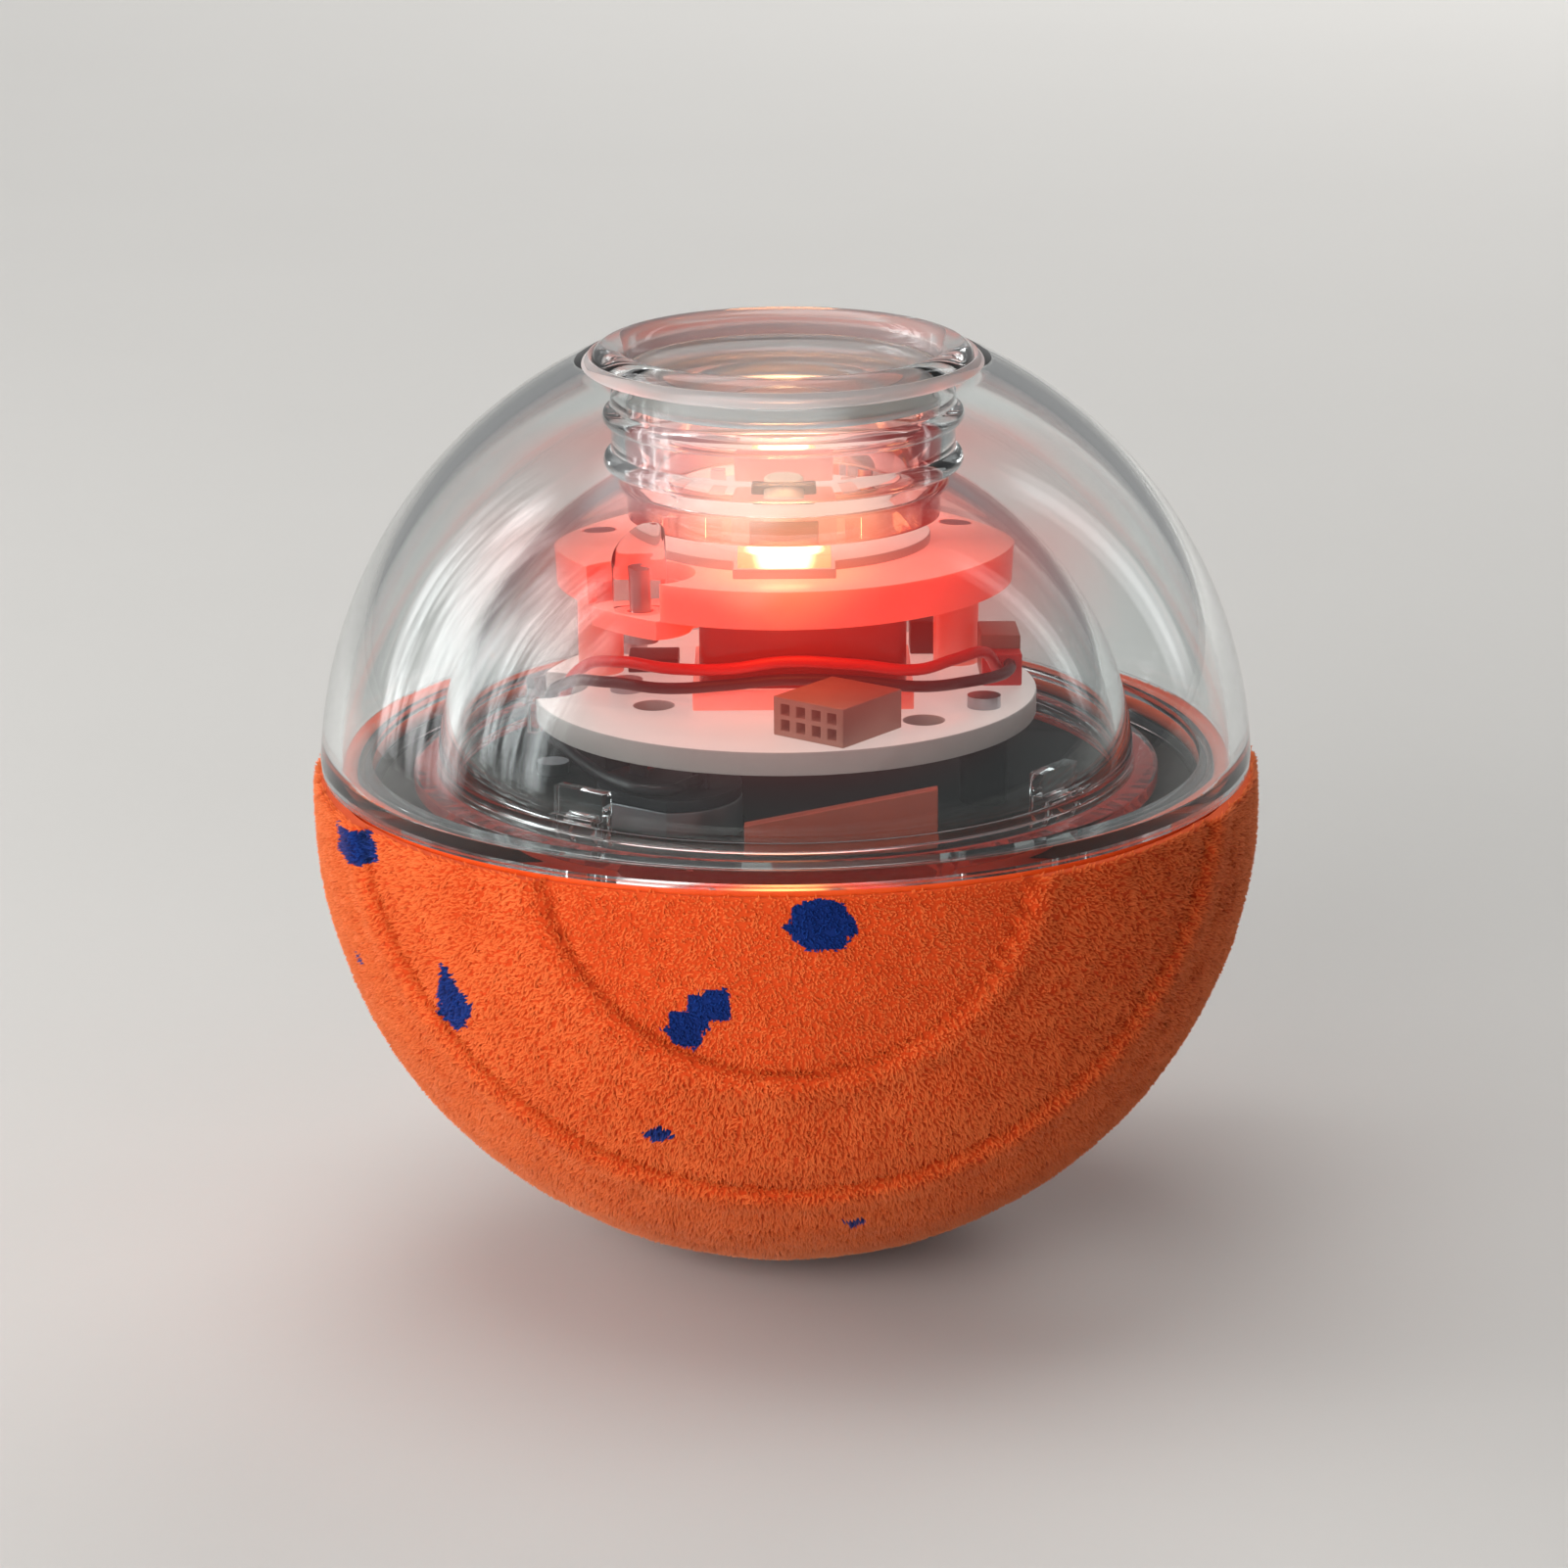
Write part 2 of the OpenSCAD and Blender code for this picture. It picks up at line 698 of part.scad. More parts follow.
// Black tray that carries the capsule and everything that turns with it
module carrier_tray() {
    color("black") from_floor() difference() {
        union() {
            rod(tray_radius, tray_bottom, tray_top);
            difference() {
                ring(rib_radius + rib_wall, rib_radius, tray_bottom - rib_depth, tray_bottom + weld);
                weight_sector(clear_gap, tray_bottom);
            }
        }
        at_motor() rod(motor_diameter / 2 + motor_room, tray_bottom - through, through);
        for (a = pillar_angles) rotate(a) translate([pillar_circle, 0, 0])
            rod(screw_room, tray_bottom - through, through);
        for (p = board_post_places) at_place(p)
            rod(screw_room, tray_bottom - through, through);
        for (side = [-1, 1]) rotate(motor_angle + side * weight_screw_spread)
            translate([weight_inner_radius + weight_thickness / 2, 0, 0])
                rod(screw_radius, tray_bottom - past, tray_bottom + tray_thickness / 2);
    }
}

// Clear inner dome with a foot flange, a latch bead, two screw bosses and a neck
module capsule_dome() {
    color("aliceblue", 0.3) from_floor() difference() {
        union() {
            rotate_extrude() {
                difference() {
                    intersection() {
                        translate([0, tray_top]) circle(r = capsule_radius);
                        half_plane(flange_foot, 2 * capsule_radius);
                    }
                    translate([0, tray_top]) circle(r = capsule_inside);
                }
                translate([capsule_radius - weld, flange_foot]) square([flange_width + weld, flange_thickness]);
                translate([capsule_inside - bead_reach, bead_foot]) square([bead_reach + weld, bead_height]);
                translate([capsule_neck_bore, capsule_neck_foot])
                    square([capsule_neck_wall, capsule_neck_top - capsule_neck_foot]);
            }
            intersection() {
                translate([0, 0, tray_top]) sphere(r = capsule_radius - capsule_wall / 2);
                at_bosses() rod(boss_radius, skirt_foot, capsule_radius * 2);
            }
        }
        rod(capsule_neck_bore, deck_top, capsule_radius * 2);
        at_bosses() rod(screw_radius, skirt_foot - past, skirt_foot + screw_length - ear_thickness);
    }
}

module capsule_gasket() {
    color("tomato") from_floor()
        ring(flange_radius - wide_gap, capsule_inside + wide_gap, tray_top, flange_foot);
}

// Clear latch clips: an open frame with a nose that holds down the dome's bead
module capsule_clips() {
    color("aliceblue", 0.4) from_floor()
        for (i = [0 : clip_count - 1]) rotate(clip_start_angle + 360 * i / clip_count)
            translate([clip_face - clip_thickness, 0, tray_top]) {
                difference() {
                    translate([0, -clip_width / 2, 0]) cube([clip_thickness, clip_width, clip_height]);
                    translate([-past, clip_bar - clip_width / 2, -past])
                        cube([clip_thickness + 2 * past, clip_width - 2 * clip_bar, clip_height - 2 * clip_bar + past]);
                }
                translate([clip_thickness - weld, -clip_width / 2, clip_nose_foot - tray_top])
                    cube([bead_reach + weld - fit, clip_width, clip_bar / 2]);
            }
}

// Upper deck: a plate with a skirt, cut back round two ears that are screwed to the bosses
module upper_deck() {
    color("mistyrose") from_floor() difference() {
        union() {
            difference() {
                union() {
                    rod(deck_radius, deck_foot, deck_top);
                    ring(deck_radius, deck_radius - deck_skirt_wall, skirt_foot, deck_foot + weld);
                    for (p = deck_post_places) at_place(p)
                        rod(post_radius, skirt_foot, deck_foot + weld);
                }
                at_bosses() rod(boss_room, skirt_foot - past, deck_top + past);
            }
            intersection() {
                rod(deck_radius, ear_foot, skirt_foot);
                at_bosses() {
                    rod(ear_radius, ear_foot, skirt_foot);
                    translate([-ear_reach, -ear_width / 2, ear_foot])
                        cube([ear_reach, ear_width, ear_thickness]);
                }
            }
            at_bosses() translate([-ear_reach, -ear_width / 2, ear_foot])
                cube([ear_web + weld, ear_width, deck_foot - ear_foot + weld]);
        }
        at_bosses() rod(screw_room, ear_foot - past, skirt_foot + past);
        for (p = deck_post_places) at_place(p) {
            rod(screw_room, skirt_foot - past, deck_top + past);
            rod(head_room, deck_top - screw_head_height, deck_top + past);
        }
    }
}

module deck_posts() {
    color("white") from_floor() for (p = deck_post_places) at_place(p)
        difference() {
            rod(post_radius, board_top, skirt_foot);
            rod(screw_radius, deck_top - screw_head_height - screw_length, skirt_foot + past);
        }
}

module deck_screws() {
    color("silver") from_floor() {
        for (p = deck_post_places) at_place(p) screw(deck_top - screw_head_height);
        at_bosses() screw_up(ear_foot);
    }
}

// Lamp board: a disc with two wings that carry the lamps
module lamp_board() {
    wing = [lamp_width, 2 * lamp_distance + lamp_size] + 2 * wing_margin * [1, 1];
    color("whitesmoke") from_floor() {
        rod(lamp_board_radius, deck_top, lamp_foot);
        block([wing[0], wing[1], lamp_board_thickness], [0, 0], deck_top);
    }
}

module lamps() {
    color("red") from_floor() for (side = [-1, 1]) {
        block([lamp_width, lamp_size, lamp_height], [0, side * lamp_distance], lamp_foot);
        translate([0, side * lamp_distance, lamp_foot + lamp_height - weld]) linear_extrude(weld + lens_rise)
            slot_outline(lamp_width - 2 * lamp_edge, lamp_size - 2 * lamp_edge);
    }
}

module lamp_board_tabs() {
    color("aliceblue", 0.4) from_floor() for (p = tab_places) block(tab_size, p, lamp_foot);
}

module slot_outline(width, depth) {
    square([width - depth, depth], center = true);
    for (side = [-1, 1]) translate([side * (width - depth) / 2, 0]) circle(d = depth);
}

// Upright charging socket: an oval steel sleeve round a flat tongue
module charging_socket() {
    color("silver") from_floor() at_place(socket_place) translate([0, 0, lamp_foot]) {
        difference() {
            linear_extrude(socket_height) slot_outline(socket_width, socket_depth);
            translate([0, 0, socket_floor]) linear_extrude(socket_height)
                slot_outline(socket_width - 2 * socket_wall, socket_depth - 2 * socket_wall);
        }
        translate([-tongue_size[0] / 2, -tongue_size[1] / 2, socket_floor - weld])
            cube([tongue_size[0], tongue_size[1], socket_height - 2 * socket_floor]);
    }
}

module switch_body() {
    color("black") from_floor() difference() {
        block([switch_size, switch_size, switch_height], switch_place, lamp_foot);
        at_place(switch_place) rod(
            button_radius + running_gap,
            lamp_foot + switch_height - button_depth - button_travel - running_gap,
            lamp_foot + switch_height + past
        );
    }
}

module power_button() {
    top = lamp_foot + switch_height;
    color("white") from_floor() at_place(switch_place)
        rod(button_radius, top - button_depth, top + button_reach);
}

// Lower deck of the capsule: the main board, with a notch where the leads go down
module main_board() {
    color("white") from_floor() difference() {
        rod(board_radius, board_foot, board_top);
        at_place(board_notch_place) rod(board_notch_radius, board_foot - past, board_top + past);
        for (p = board_hole_places) at_place(p) rod(board_hole_radius, board_foot - past, board_top + past);
        for (p = board_post_places) at_place(p) rod(screw_room, board_foot - past, board_top + past);
    }
}

module pin_socket() {
    color("ivory") from_floor() at_place(pin_block_place) rotate(pin_block_turn) difference() {
        block([pin_block_width, pin_block_depth, pin_block_height], [0, 0], board_top);
        for (i = [0 : pin_columns - 1], row = pin_row_heights)
            translate([
                (i - (pin_columns - 1) / 2) * pin_pitch,
                -pin_block_depth / 2 - weld,
                board_top + pin_block_height * row
            ])
                translate([-pin_hole / 2, 0, -pin_hole / 2]) cube([pin_hole, pin_hole_depth + weld, pin_hole]);
    }
}

module board_parts() {
    color("darkslategray") from_floor() {
        block(coil_size, coil_place, board_top);
        block(chip_size, chip_place, board_top);
        block(timer_size, timer_place, board_top);
    }
}

module lead_socket() {
    color("white") from_floor()
        block([lead_socket_width, lead_socket_length, lead_socket_height], lead_socket_place, board_top);
}

module lead_plug() {
    front = lead_socket_place[1] - lead_socket_length / 2;
    color("red") from_floor()
        block([lead_socket_width, lead_plug_length, lead_plug_height],
            [lead_socket_place[0], front - lead_plug_length / 2], board_top + fit);
}

module red_lead() {
    color("red") from_floor() lead(red_route);
}

module black_lead() {
    color("black") from_floor() lead(black_route);
}

module battery() {
    color("firebrick") from_floor()
        block([battery_width, battery_depth, battery_height], battery_place, board_top);
}

module battery_cradle() {
    outer = [battery_width + 2 * cradle_wall, battery_depth + 2 * cradle_wall, cradle_height];
    color("white") from_floor() difference() {
        block(outer, battery_place, board_top);
        block([battery_width, battery_depth, through], battery_place, board_top - past);
    }
}

module battery_pad() {
    color("gray") from_floor()
        block([battery_width, battery_depth, pad_thickness], battery_place, board_top + battery_height);
}

module board_pillars() {
    color("black") from_floor() for (p = board_post_places) at_place(p)
        difference() {
            rod(post_radius, tray_top, board_foot);
            rod(screw_radius, board_top - screw_length, board_foot + past);
        }
}

module board_screws() {
    color("silver") from_floor() for (p = board_post_places) at_place(p) screw(board_top);
}

// Slanted panel that stands on the tray in front of the motor
module baffle_plate() {
    color("sienna") from_floor() translate([0, baffle_face, tray_top]) rotate([90, 0, 0])
        linear_extrude(baffle_thickness) polygon([
            [baffle_ends[0], 0], [baffle_ends[1], 0],
            [baffle_ends[1], baffle_heights[1]], [baffle_ends[0], baffle_heights[0]]
        ]);
}

// Cross-section of the motor: a circle with two flats
module motor_outline(inset) {
    intersection() {
        circle(d = motor_diameter - 2 * inset);
        square([motor_flats - 2 * inset, motor_diameter], center = true);
    }
}

module motor_can() {
    color("lightgray") from_floor() at_motor() translate([0, 0, can_foot])
        linear_extrude(motor_length) difference() {
            motor_outline(0);
            motor_outline(can_wall);
        }
}

module motor_end() {
    color("black") from_floor() at_motor() {
        translate([0, 0, can_top]) linear_extrude(motor_end_height) motor_outline(0);
        for (side = [-1, 1])
            block(motor_tab_size, [0, side * motor_tab_offset], can_top + motor_end_height - weld);
    }
}

module gearbox() {
    color("dimgray") from_floor() at_motor() difference() {
        block([motor_flats, motor_diameter, gearbox_height], [0, 0], plate_top);
        rod(shaft_radius + fit, plate_top - past, plate_top + shaft_seat + running_gap);
    }
}

module motor_shaft() {
    color("silver") from_floor() at_motor()
        rod(shaft_radius, gear_foot + clear_gap, plate_top + shaft_seat);
}

module motor_pinion() {
    color("goldenrod") from_floor() at_motor() difference() {
        translate([0, 0, gear_foot + clear_gap]) rotate(180 + 180 / pinion_teeth)
            linear_extrude(gear_width) gear_outline(pinion_teeth);
        rod(shaft_radius, gear_foot, gear_top + past);
    }
}

module gear_plate() {
    color("black") from_floor() difference() {
        rod(plate_radius, plate_foot, plate_top);
        rod(bush_radius, plate_foot - past, plate_top + past);
        at_motor() rod(shaft_room, plate_foot - past, plate_top + past);
        for (a = pillar_angles) rotate(a) translate([pillar_circle, 0, 0])
            rod(screw_room, plate_foot - past, plate_top + past);
        for (a = plate_window_angles) rotate(a) translate([plate_window_circle, 0, 0])
            rod(plate_window_radius, plate_foot - past, plate_top + past);
    }
}

module plate_pillars() {
    color("goldenrod") from_floor() for (a = pillar_angles) rotate(a) translate([pillar_circle, 0, 0])
        difference() {
            rod(post_radius, plate_top, tray_bottom);
            rod(screw_radius, plate_top - past, plate_foot + screw_length);
            rod(screw_radius, tray_top - screw_length, tray_bottom + past);
        }
}

module plate_screws() {
    color("silver") from_floor() for (a = pillar_angles) rotate(a) translate([pillar_circle, 0, 0]) {
        screw(tray_top);
        screw_up(plate_foot);
    }
}

module plate_bush() {
    color("goldenrod") from_floor() difference() {
        union() {
            rod(bush_radius, bush_foot, bush_top);
            rod(washer_radius, bush_foot, plate_foot);
        }
        rod(axle_bore, bush_foot - past, bush_top + past);
    }
}

module counterweight() {
    top = tray_bottom;
    color("slategray") from_floor() difference() {
        weight_sector(0, top);
        for (side = [-1, 1]) rotate(motor_angle + side * weight_screw_spread)
            translate([weight_inner_radius + weight_thickness / 2, 0, 0]) {
                rod(screw_room, top - through, top + past);
                rod(head_room, top - through, top + tray_thickness / 2 - screw_length);
            }
    }
}

module weight_screws() {
    seat = tray_bottom + tray_thickness / 2 - screw_length;
    color("silver") from_floor() for (side = [-1, 1]) rotate(motor_angle + side * weight_screw_spread)
        translate([weight_inner_radius + weight_thickness / 2, 0, 0]) screw_up(seat);
}

lower_shell();
plush_cover();
seal_ring();
drive_gear();
gear_screws();
axle_pin();
axle_clip();
thrust_washer();
clear_dome();
crown_collar();
end_cap();
cap_seal();
carrier_tray();
capsule_dome();
capsule_gasket();
capsule_clips();
upper_deck();
deck_posts();
deck_screws();
lamp_board();
lamps();
lamp_board_tabs();
charging_socket();
switch_body();
power_button();
main_board();
pin_socket();
board_parts();
lead_socket();
lead_plug();
red_lead();
black_lead();
battery();
battery_cradle();
battery_pad();
board_pillars();
board_screws();
baffle_plate();
motor_can();
motor_end();
gearbox();
motor_shaft();
motor_pinion();
gear_plate();
plate_pillars();
plate_screws();
plate_bush();
counterweight();
weight_screws();
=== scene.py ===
# %% [markdown]
# A self-rolling dog ball
#
# The ball has a plush lower half, a clear dome and, inside them, a clear capsule that a motor
# turns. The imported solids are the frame: they say where everything sits and how it moves.
# This lesson dresses them. Each step says what the real piece or finish is, how it could be
# made, and why it is made this way here.

# %% Load the frame
import json
import math

import bmesh
import bpy
from mathutils import Matrix, Vector, noise

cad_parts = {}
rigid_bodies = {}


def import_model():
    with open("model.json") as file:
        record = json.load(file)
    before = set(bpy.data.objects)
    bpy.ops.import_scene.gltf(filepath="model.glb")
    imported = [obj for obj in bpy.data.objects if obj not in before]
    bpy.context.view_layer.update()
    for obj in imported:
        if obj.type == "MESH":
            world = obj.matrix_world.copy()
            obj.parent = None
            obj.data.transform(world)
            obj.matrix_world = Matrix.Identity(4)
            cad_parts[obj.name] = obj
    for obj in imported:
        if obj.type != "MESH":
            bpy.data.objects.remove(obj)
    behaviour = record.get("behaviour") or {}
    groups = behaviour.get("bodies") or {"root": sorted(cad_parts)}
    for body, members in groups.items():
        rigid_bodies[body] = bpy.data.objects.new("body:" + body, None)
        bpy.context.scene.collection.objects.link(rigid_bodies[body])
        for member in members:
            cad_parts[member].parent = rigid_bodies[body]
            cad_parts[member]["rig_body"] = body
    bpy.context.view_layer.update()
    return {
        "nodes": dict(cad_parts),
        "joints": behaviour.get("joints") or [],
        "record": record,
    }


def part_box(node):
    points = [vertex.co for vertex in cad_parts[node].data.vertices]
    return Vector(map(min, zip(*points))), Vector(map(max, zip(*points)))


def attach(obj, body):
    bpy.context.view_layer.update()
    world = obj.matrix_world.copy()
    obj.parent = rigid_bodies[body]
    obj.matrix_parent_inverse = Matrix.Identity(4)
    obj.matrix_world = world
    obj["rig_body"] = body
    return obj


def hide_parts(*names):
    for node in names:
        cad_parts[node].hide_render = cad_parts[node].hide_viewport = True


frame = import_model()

MM = 0.001
scene = bpy.context.scene
joints = {joint["name"]: joint for joint in frame["joints"]}
centre = Vector(joints["capsule_spin"]["pos_m"])
print("nodes:", len(frame["nodes"]), "ball centre:", [round(x / MM, 2) for x in centre])

# %% [markdown]
# Every size below is in millimetres and is measured from the ball's centre, as a maker would
# measure it. A finished mesh is turned into metres and lifted to the ball's place once, when
# it becomes a piece. What the solids can tell is asked from them.

# %% Measure the solids
to_frame = Matrix.Translation(centre) @ Matrix.Scale(MM, 4)
to_millimetres = to_frame.inverted()


def span(node):
    """Lowest and highest corner of a solid, in millimetres from the ball's centre."""
    low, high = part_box(node)
    return to_millimetres @ low, to_millimetres @ high


def reach(node):
    """Outer radius of a round solid that is centred on the ball's upright axis."""
    low, high = span(node)
    return (high.x - low.x) / 2


ball_radius = reach("plush_cover")
shell_radius = reach("lower_shell")
print("plush radius:", round(ball_radius, 2), "shell radius:", round(shell_radius, 2))

# %% [markdown]
# The camera comes first, because it decides which details matter. The photograph was taken
# with a long lens from a little above the ball. A long lens could be put anywhere on the line
# of sight; this distance gives the same curve to the rim as the photograph has.

# %% Camera
CAMERA_DISTANCE = 480
CAMERA_HEIGHT_ANGLE = math.radians(16.3)
CAMERA_ROLL = math.radians(-0.42)
LENS = 127
IMAGE_SIDE = 1601
BALL_PIXEL = (802.5, 803.3)

camera_data = bpy.data.cameras.new("camera")
camera_data.lens = LENS
camera_data.shift_x = (IMAGE_SIDE / 2 - BALL_PIXEL[0]) / IMAGE_SIDE
camera_data.shift_y = (BALL_PIXEL[1] - IMAGE_SIDE / 2) / IMAGE_SIDE
camera = bpy.data.objects.new("camera", camera_data)
away = Vector((0, -math.cos(CAMERA_HEIGHT_ANGLE), math.sin(CAMERA_HEIGHT_ANGLE)))
camera.location = centre + away * CAMERA_DISTANCE * MM
look = (-away).to_track_quat("-Z", "Y").to_matrix() @ Matrix.Rotation(CAMERA_ROLL, 3, "Z")
camera.rotation_euler = look.to_euler()
scene.collection.objects.link(camera)
scene.camera = camera
scene.view_settings.view_transform = "Standard"
print("camera at", [round(x, 3) for x in camera.location])

# %% [markdown]
# Materials are small trees of shader nodes. One function adds a node, sets it and links it.
# Colours are written as the hex values that a paint program shows, and one function turns
# them into the linear numbers that the renderer counts with.

# %% Colour and node helpers
def linear(code):
    """Linear colour of an sRGB hex value."""
    channels = [int(code[i:i + 2], 16) / 255 for i in (1, 3, 5)]
    return [c / 12.92 if c <= 0.04045 else ((c + 0.055) / 1.055) ** 2.4 for c in channels] + [1]


def add_node(tree, kind, values=None, links=None, **settings):
    """A node with its settings, the values of its sockets and what is linked to them.

    A kind such as Math is short for ShaderNodeMath. A linked node gives its first output.
    """
    node = tree.nodes.new(kind if "Node" in kind else "ShaderNode" + kind)
    for name, value in settings.items():
        setattr(node, name, value)
    for socket, value in (values or {}).items():
        node.inputs[socket].default_value = value
    for socket, source in (links or {}).items():
        output = source.outputs[0] if isinstance(source, bpy.types.Node) else source
        tree.links.new(output, node.inputs[socket])
    return node


def new_material(name, values):
    """A material with one Principled shader, its tree, that shader and Object coordinates."""
    material = bpy.data.materials.new(name)
    material.use_nodes = True
    tree = material.node_tree
    tree.nodes.clear()
    shader = add_node(tree, "BsdfPrincipled", values)
    add_node(tree, "OutputMaterial", links={"Surface": shader})
    place = add_node(tree, "TexCoord").outputs["Object"]
    return material, tree, shader, place


def shader_of(material):
    """The Principled shader of a material."""
    return next(node for node in material.node_tree.nodes if node.type == "BSDF_PRINCIPLED")


# %% [markdown]
# Most inner pieces are moulded, stamped or dipped, and differ in colour, gloss and grain.
# A flat colour would look like paint on a screen, so one recipe gives each of them a slight
# mottling of two near colours, a gloss that varies, and a relief as deep as its grain.

# %% A mottled finish
GRAIN_BUMP = 0.6


def mottled(name, colours, blotch, roughness, grain, relief, **sockets):
    """A finish from two near colours. Blotch, grain and relief are sizes in millimetres."""
    values = {socket.replace("_", " "): value for socket, value in sockets.items()}
    material, tree, shader, place = new_material(name, values)
    cloud = add_node(tree, "TexNoise", {"Scale": 1 / (blotch * MM), "Detail": 3}, {"Vector": place})
    colour = add_node(tree, "Mix", {6: linear(colours[0]), 7: linear(colours[1])},
                      {"Factor": cloud}, data_type="RGBA")
    tree.links.new(colour.outputs[2], shader.inputs["Base Color"])
    speckle = add_node(tree, "TexNoise", {"Scale": 1 / (grain * MM), "Detail": 2}, {"Vector": place})
    gloss = add_node(tree, "MapRange", {"To Min": roughness[0], "To Max": roughness[1]},
                     {"Value": speckle})
    tree.links.new(gloss.outputs[0], shader.inputs["Roughness"])
    bump = add_node(tree, "Bump", {"Strength": GRAIN_BUMP, "Distance": relief * MM}, {"Height": speckle})
    tree.links.new(bump.outputs[0], shader.inputs["Normal"])
    return material


# %% [markdown]
# The stage is a plain pale floor in a dim room. The lamps are large soft boxes, as in a photo
# studio: one in front for the plush, a weaker one behind, a streaky one like a window at the
# left, which gives the clear domes their glare, and one overhead for the floor. A pale room
# would lie like a veil on the clear plastic, so only a camera that looks past the floor sees
# the room as pale.

# %% Floor, world and lamps
FLOOR_SIDE = 6000
FLOOR_COLOUR = "#C9C7C3"
ROOM_SEEN = "#DDDCDA"
ROOM_LOW, ROOM_TOP = "#9A9A9A", "#5A5B5E"
ROOM_LIGHT = 0.95
CLIMB_LOW, CLIMB_TOP = 0.1, 0.9
FAR_LIFT = 0.5
LIFT_START, LIFT_END = 150, 1200
BOX_FADE = 0.2
STREAK_COUNTS = (7, 1.6, 1)
STREAK_LOW, STREAK_HIGH = 0.44, 0.58


def soft_box(name, place, width, height, watts, streaks=0, mirrored=True):
    """A rectangular lamp at a place, turned towards the ball's centre.

    It may be streaky, and it may be left out of mirror images.
    """
    data = bpy.data.lights.new(name, "AREA")
    data.shape = "RECTANGLE"
    data.size, data.size_y = width * MM, height * MM
    data.energy = watts
    data.use_nodes = True
    tree = data.node_tree
    tree.nodes.clear()
    spread = add_node(tree, "NewGeometry").outputs["Parametric"]
    sides = add_node(tree, "SeparateXYZ", links={0: spread})
    strength = None
    for axis in ("X", "Y"):
        off = add_node(tree, "Math", {1: 0.5}, {0: sides.outputs[axis]}, operation="SUBTRACT")
        off = add_node(tree, "Math", links={0: off}, operation="ABSOLUTE")
        fade = add_node(tree, "MapRange", {"From Min": 0.5, "From Max": 0.5 - BOX_FADE}, {"Value": off},
                        interpolation_type="SMOOTHSTEP")
        if strength:
            fade = add_node(tree, "Math", None, {0: fade, 1: strength}, operation="MULTIPLY")
        strength = fade
    bands = add_node(tree, "VectorMath", {1: STREAK_COUNTS}, {0: spread}, operation="MULTIPLY")
    bands = add_node(tree, "TexNoise", {"Scale": 1, "Detail": 3}, {"Vector": bands})
    bands = add_node(tree, "MapRange",
                     {"From Min": STREAK_LOW, "From Max": STREAK_HIGH, "To Min": 1 - streaks,
                      "To Max": 1 + streaks}, {"Value": bands})
    strength = add_node(tree, "Math", None, {0: strength, 1: bands}, operation="MULTIPLY")
    shine = add_node(tree, "Emission", None, {"Strength": strength})
    add_node(tree, "OutputLight", links={0: shine})
    lamp = bpy.data.objects.new(name, data)
    lamp.visible_glossy = lamp.visible_transmission = mirrored
    lamp.location = to_frame @ Vector(place)
    lamp.rotation_euler = (-Vector(place)).to_track_quat("-Z", "Y").to_euler()
    scene.collection.objects.link(lamp)


floor_mesh = bmesh.new()
bmesh.ops.create_grid(floor_mesh, x_segments=1, y_segments=1, size=FLOOR_SIDE / 2 * MM)
floor_data = bpy.data.meshes.new("floor")
floor_mesh.to_mesh(floor_data)
floor_mesh.free()
floor = bpy.data.objects.new("floor", floor_data)
scene.collection.objects.link(floor)
paper = mottled("studio_paper", (FLOOR_COLOUR, "#C6C4C0"), 60, (0.75, 0.85), 1.5, 0.02,
                Emission_Color=linear(FLOOR_COLOUR))
floor_data.materials.append(paper)

# Far from the lamps the paper would turn grey, so there it shows a little light of its own.
paper_tree = paper.node_tree
paper_place = add_node(paper_tree, "TexCoord").outputs["Object"]
from_ball = add_node(paper_tree, "VectorMath", None, {0: paper_place}, operation="LENGTH")
lift = add_node(paper_tree, "MapRange",
                {"From Min": LIFT_START * MM, "From Max": LIFT_END * MM, "To Max": FAR_LIFT},
                {"Value": from_ball.outputs["Value"]})
path = add_node(paper_tree, "LightPath")
seen = path.outputs["Is Camera Ray"]
for ray in ("Is Glossy Ray", "Is Transmission Ray"):
    seen = add_node(paper_tree, "Math", None, {0: seen, 1: path.outputs[ray]}, operation="MAXIMUM")
lift = add_node(paper_tree, "Math", None, {0: lift, 1: seen}, operation="MULTIPLY")
paper_tree.links.new(lift.outputs[0], shader_of(paper).inputs["Emission Strength"])

world = bpy.data.worlds.new("studio")
world.use_nodes = True
scene.world = world
sky = world.node_tree
sky.nodes.clear()
direction = add_node(sky, "TexCoord").outputs["Generated"]
climb = add_node(sky, "SeparateXYZ", links={0: direction}).outputs["Z"]
fade = add_node(sky, "MapRange", {"From Min": CLIMB_LOW, "From Max": CLIMB_TOP}, {"Value": climb})
room = add_node(sky, "Mix", {6: linear(ROOM_LOW), 7: linear(ROOM_TOP)},
                {"Factor": fade}, data_type="RGBA")
straight = add_node(sky, "LightPath").outputs["Is Camera Ray"]
tone = add_node(sky, "Mix", {7: linear(ROOM_SEEN)},
                {"Factor": straight, 6: room.outputs[2]}, data_type="RGBA")
glow = add_node(sky, "Background", {"Strength": ROOM_LIGHT}, {"Color": tone.outputs[2]})
add_node(sky, "OutputWorld", links={"Surface": glow})

soft_box("front_box", (-360, -600, 190), 700, 600, 8, mirrored=False)
soft_box("back_box", (400, 1100, 520), 900, 600, 9, mirrored=False)
soft_box("window_box", (-450, 90, 170), 420, 520, 2.2, streaks=0.95)
soft_box("top_box", (-150, 150, 900), 900, 900, 6.4)
soft_box("edge_box_right", (430, 240, 220), 80, 500, 0.25)
print("lamps:", [lamp.name for lamp in bpy.data.lights])

# %% [markdown]
# The dome, the crown, the end cap and the capsule are polished clear acrylic. Glass shaders
# stop lamp rays, and everything behind them would be dark. Here rays on their way to a lamp
# pass straight through, as most of the light does through a thin wall. Moulding leaves faint
# waves on the polish, which make the mirror images of the soft boxes streaky.

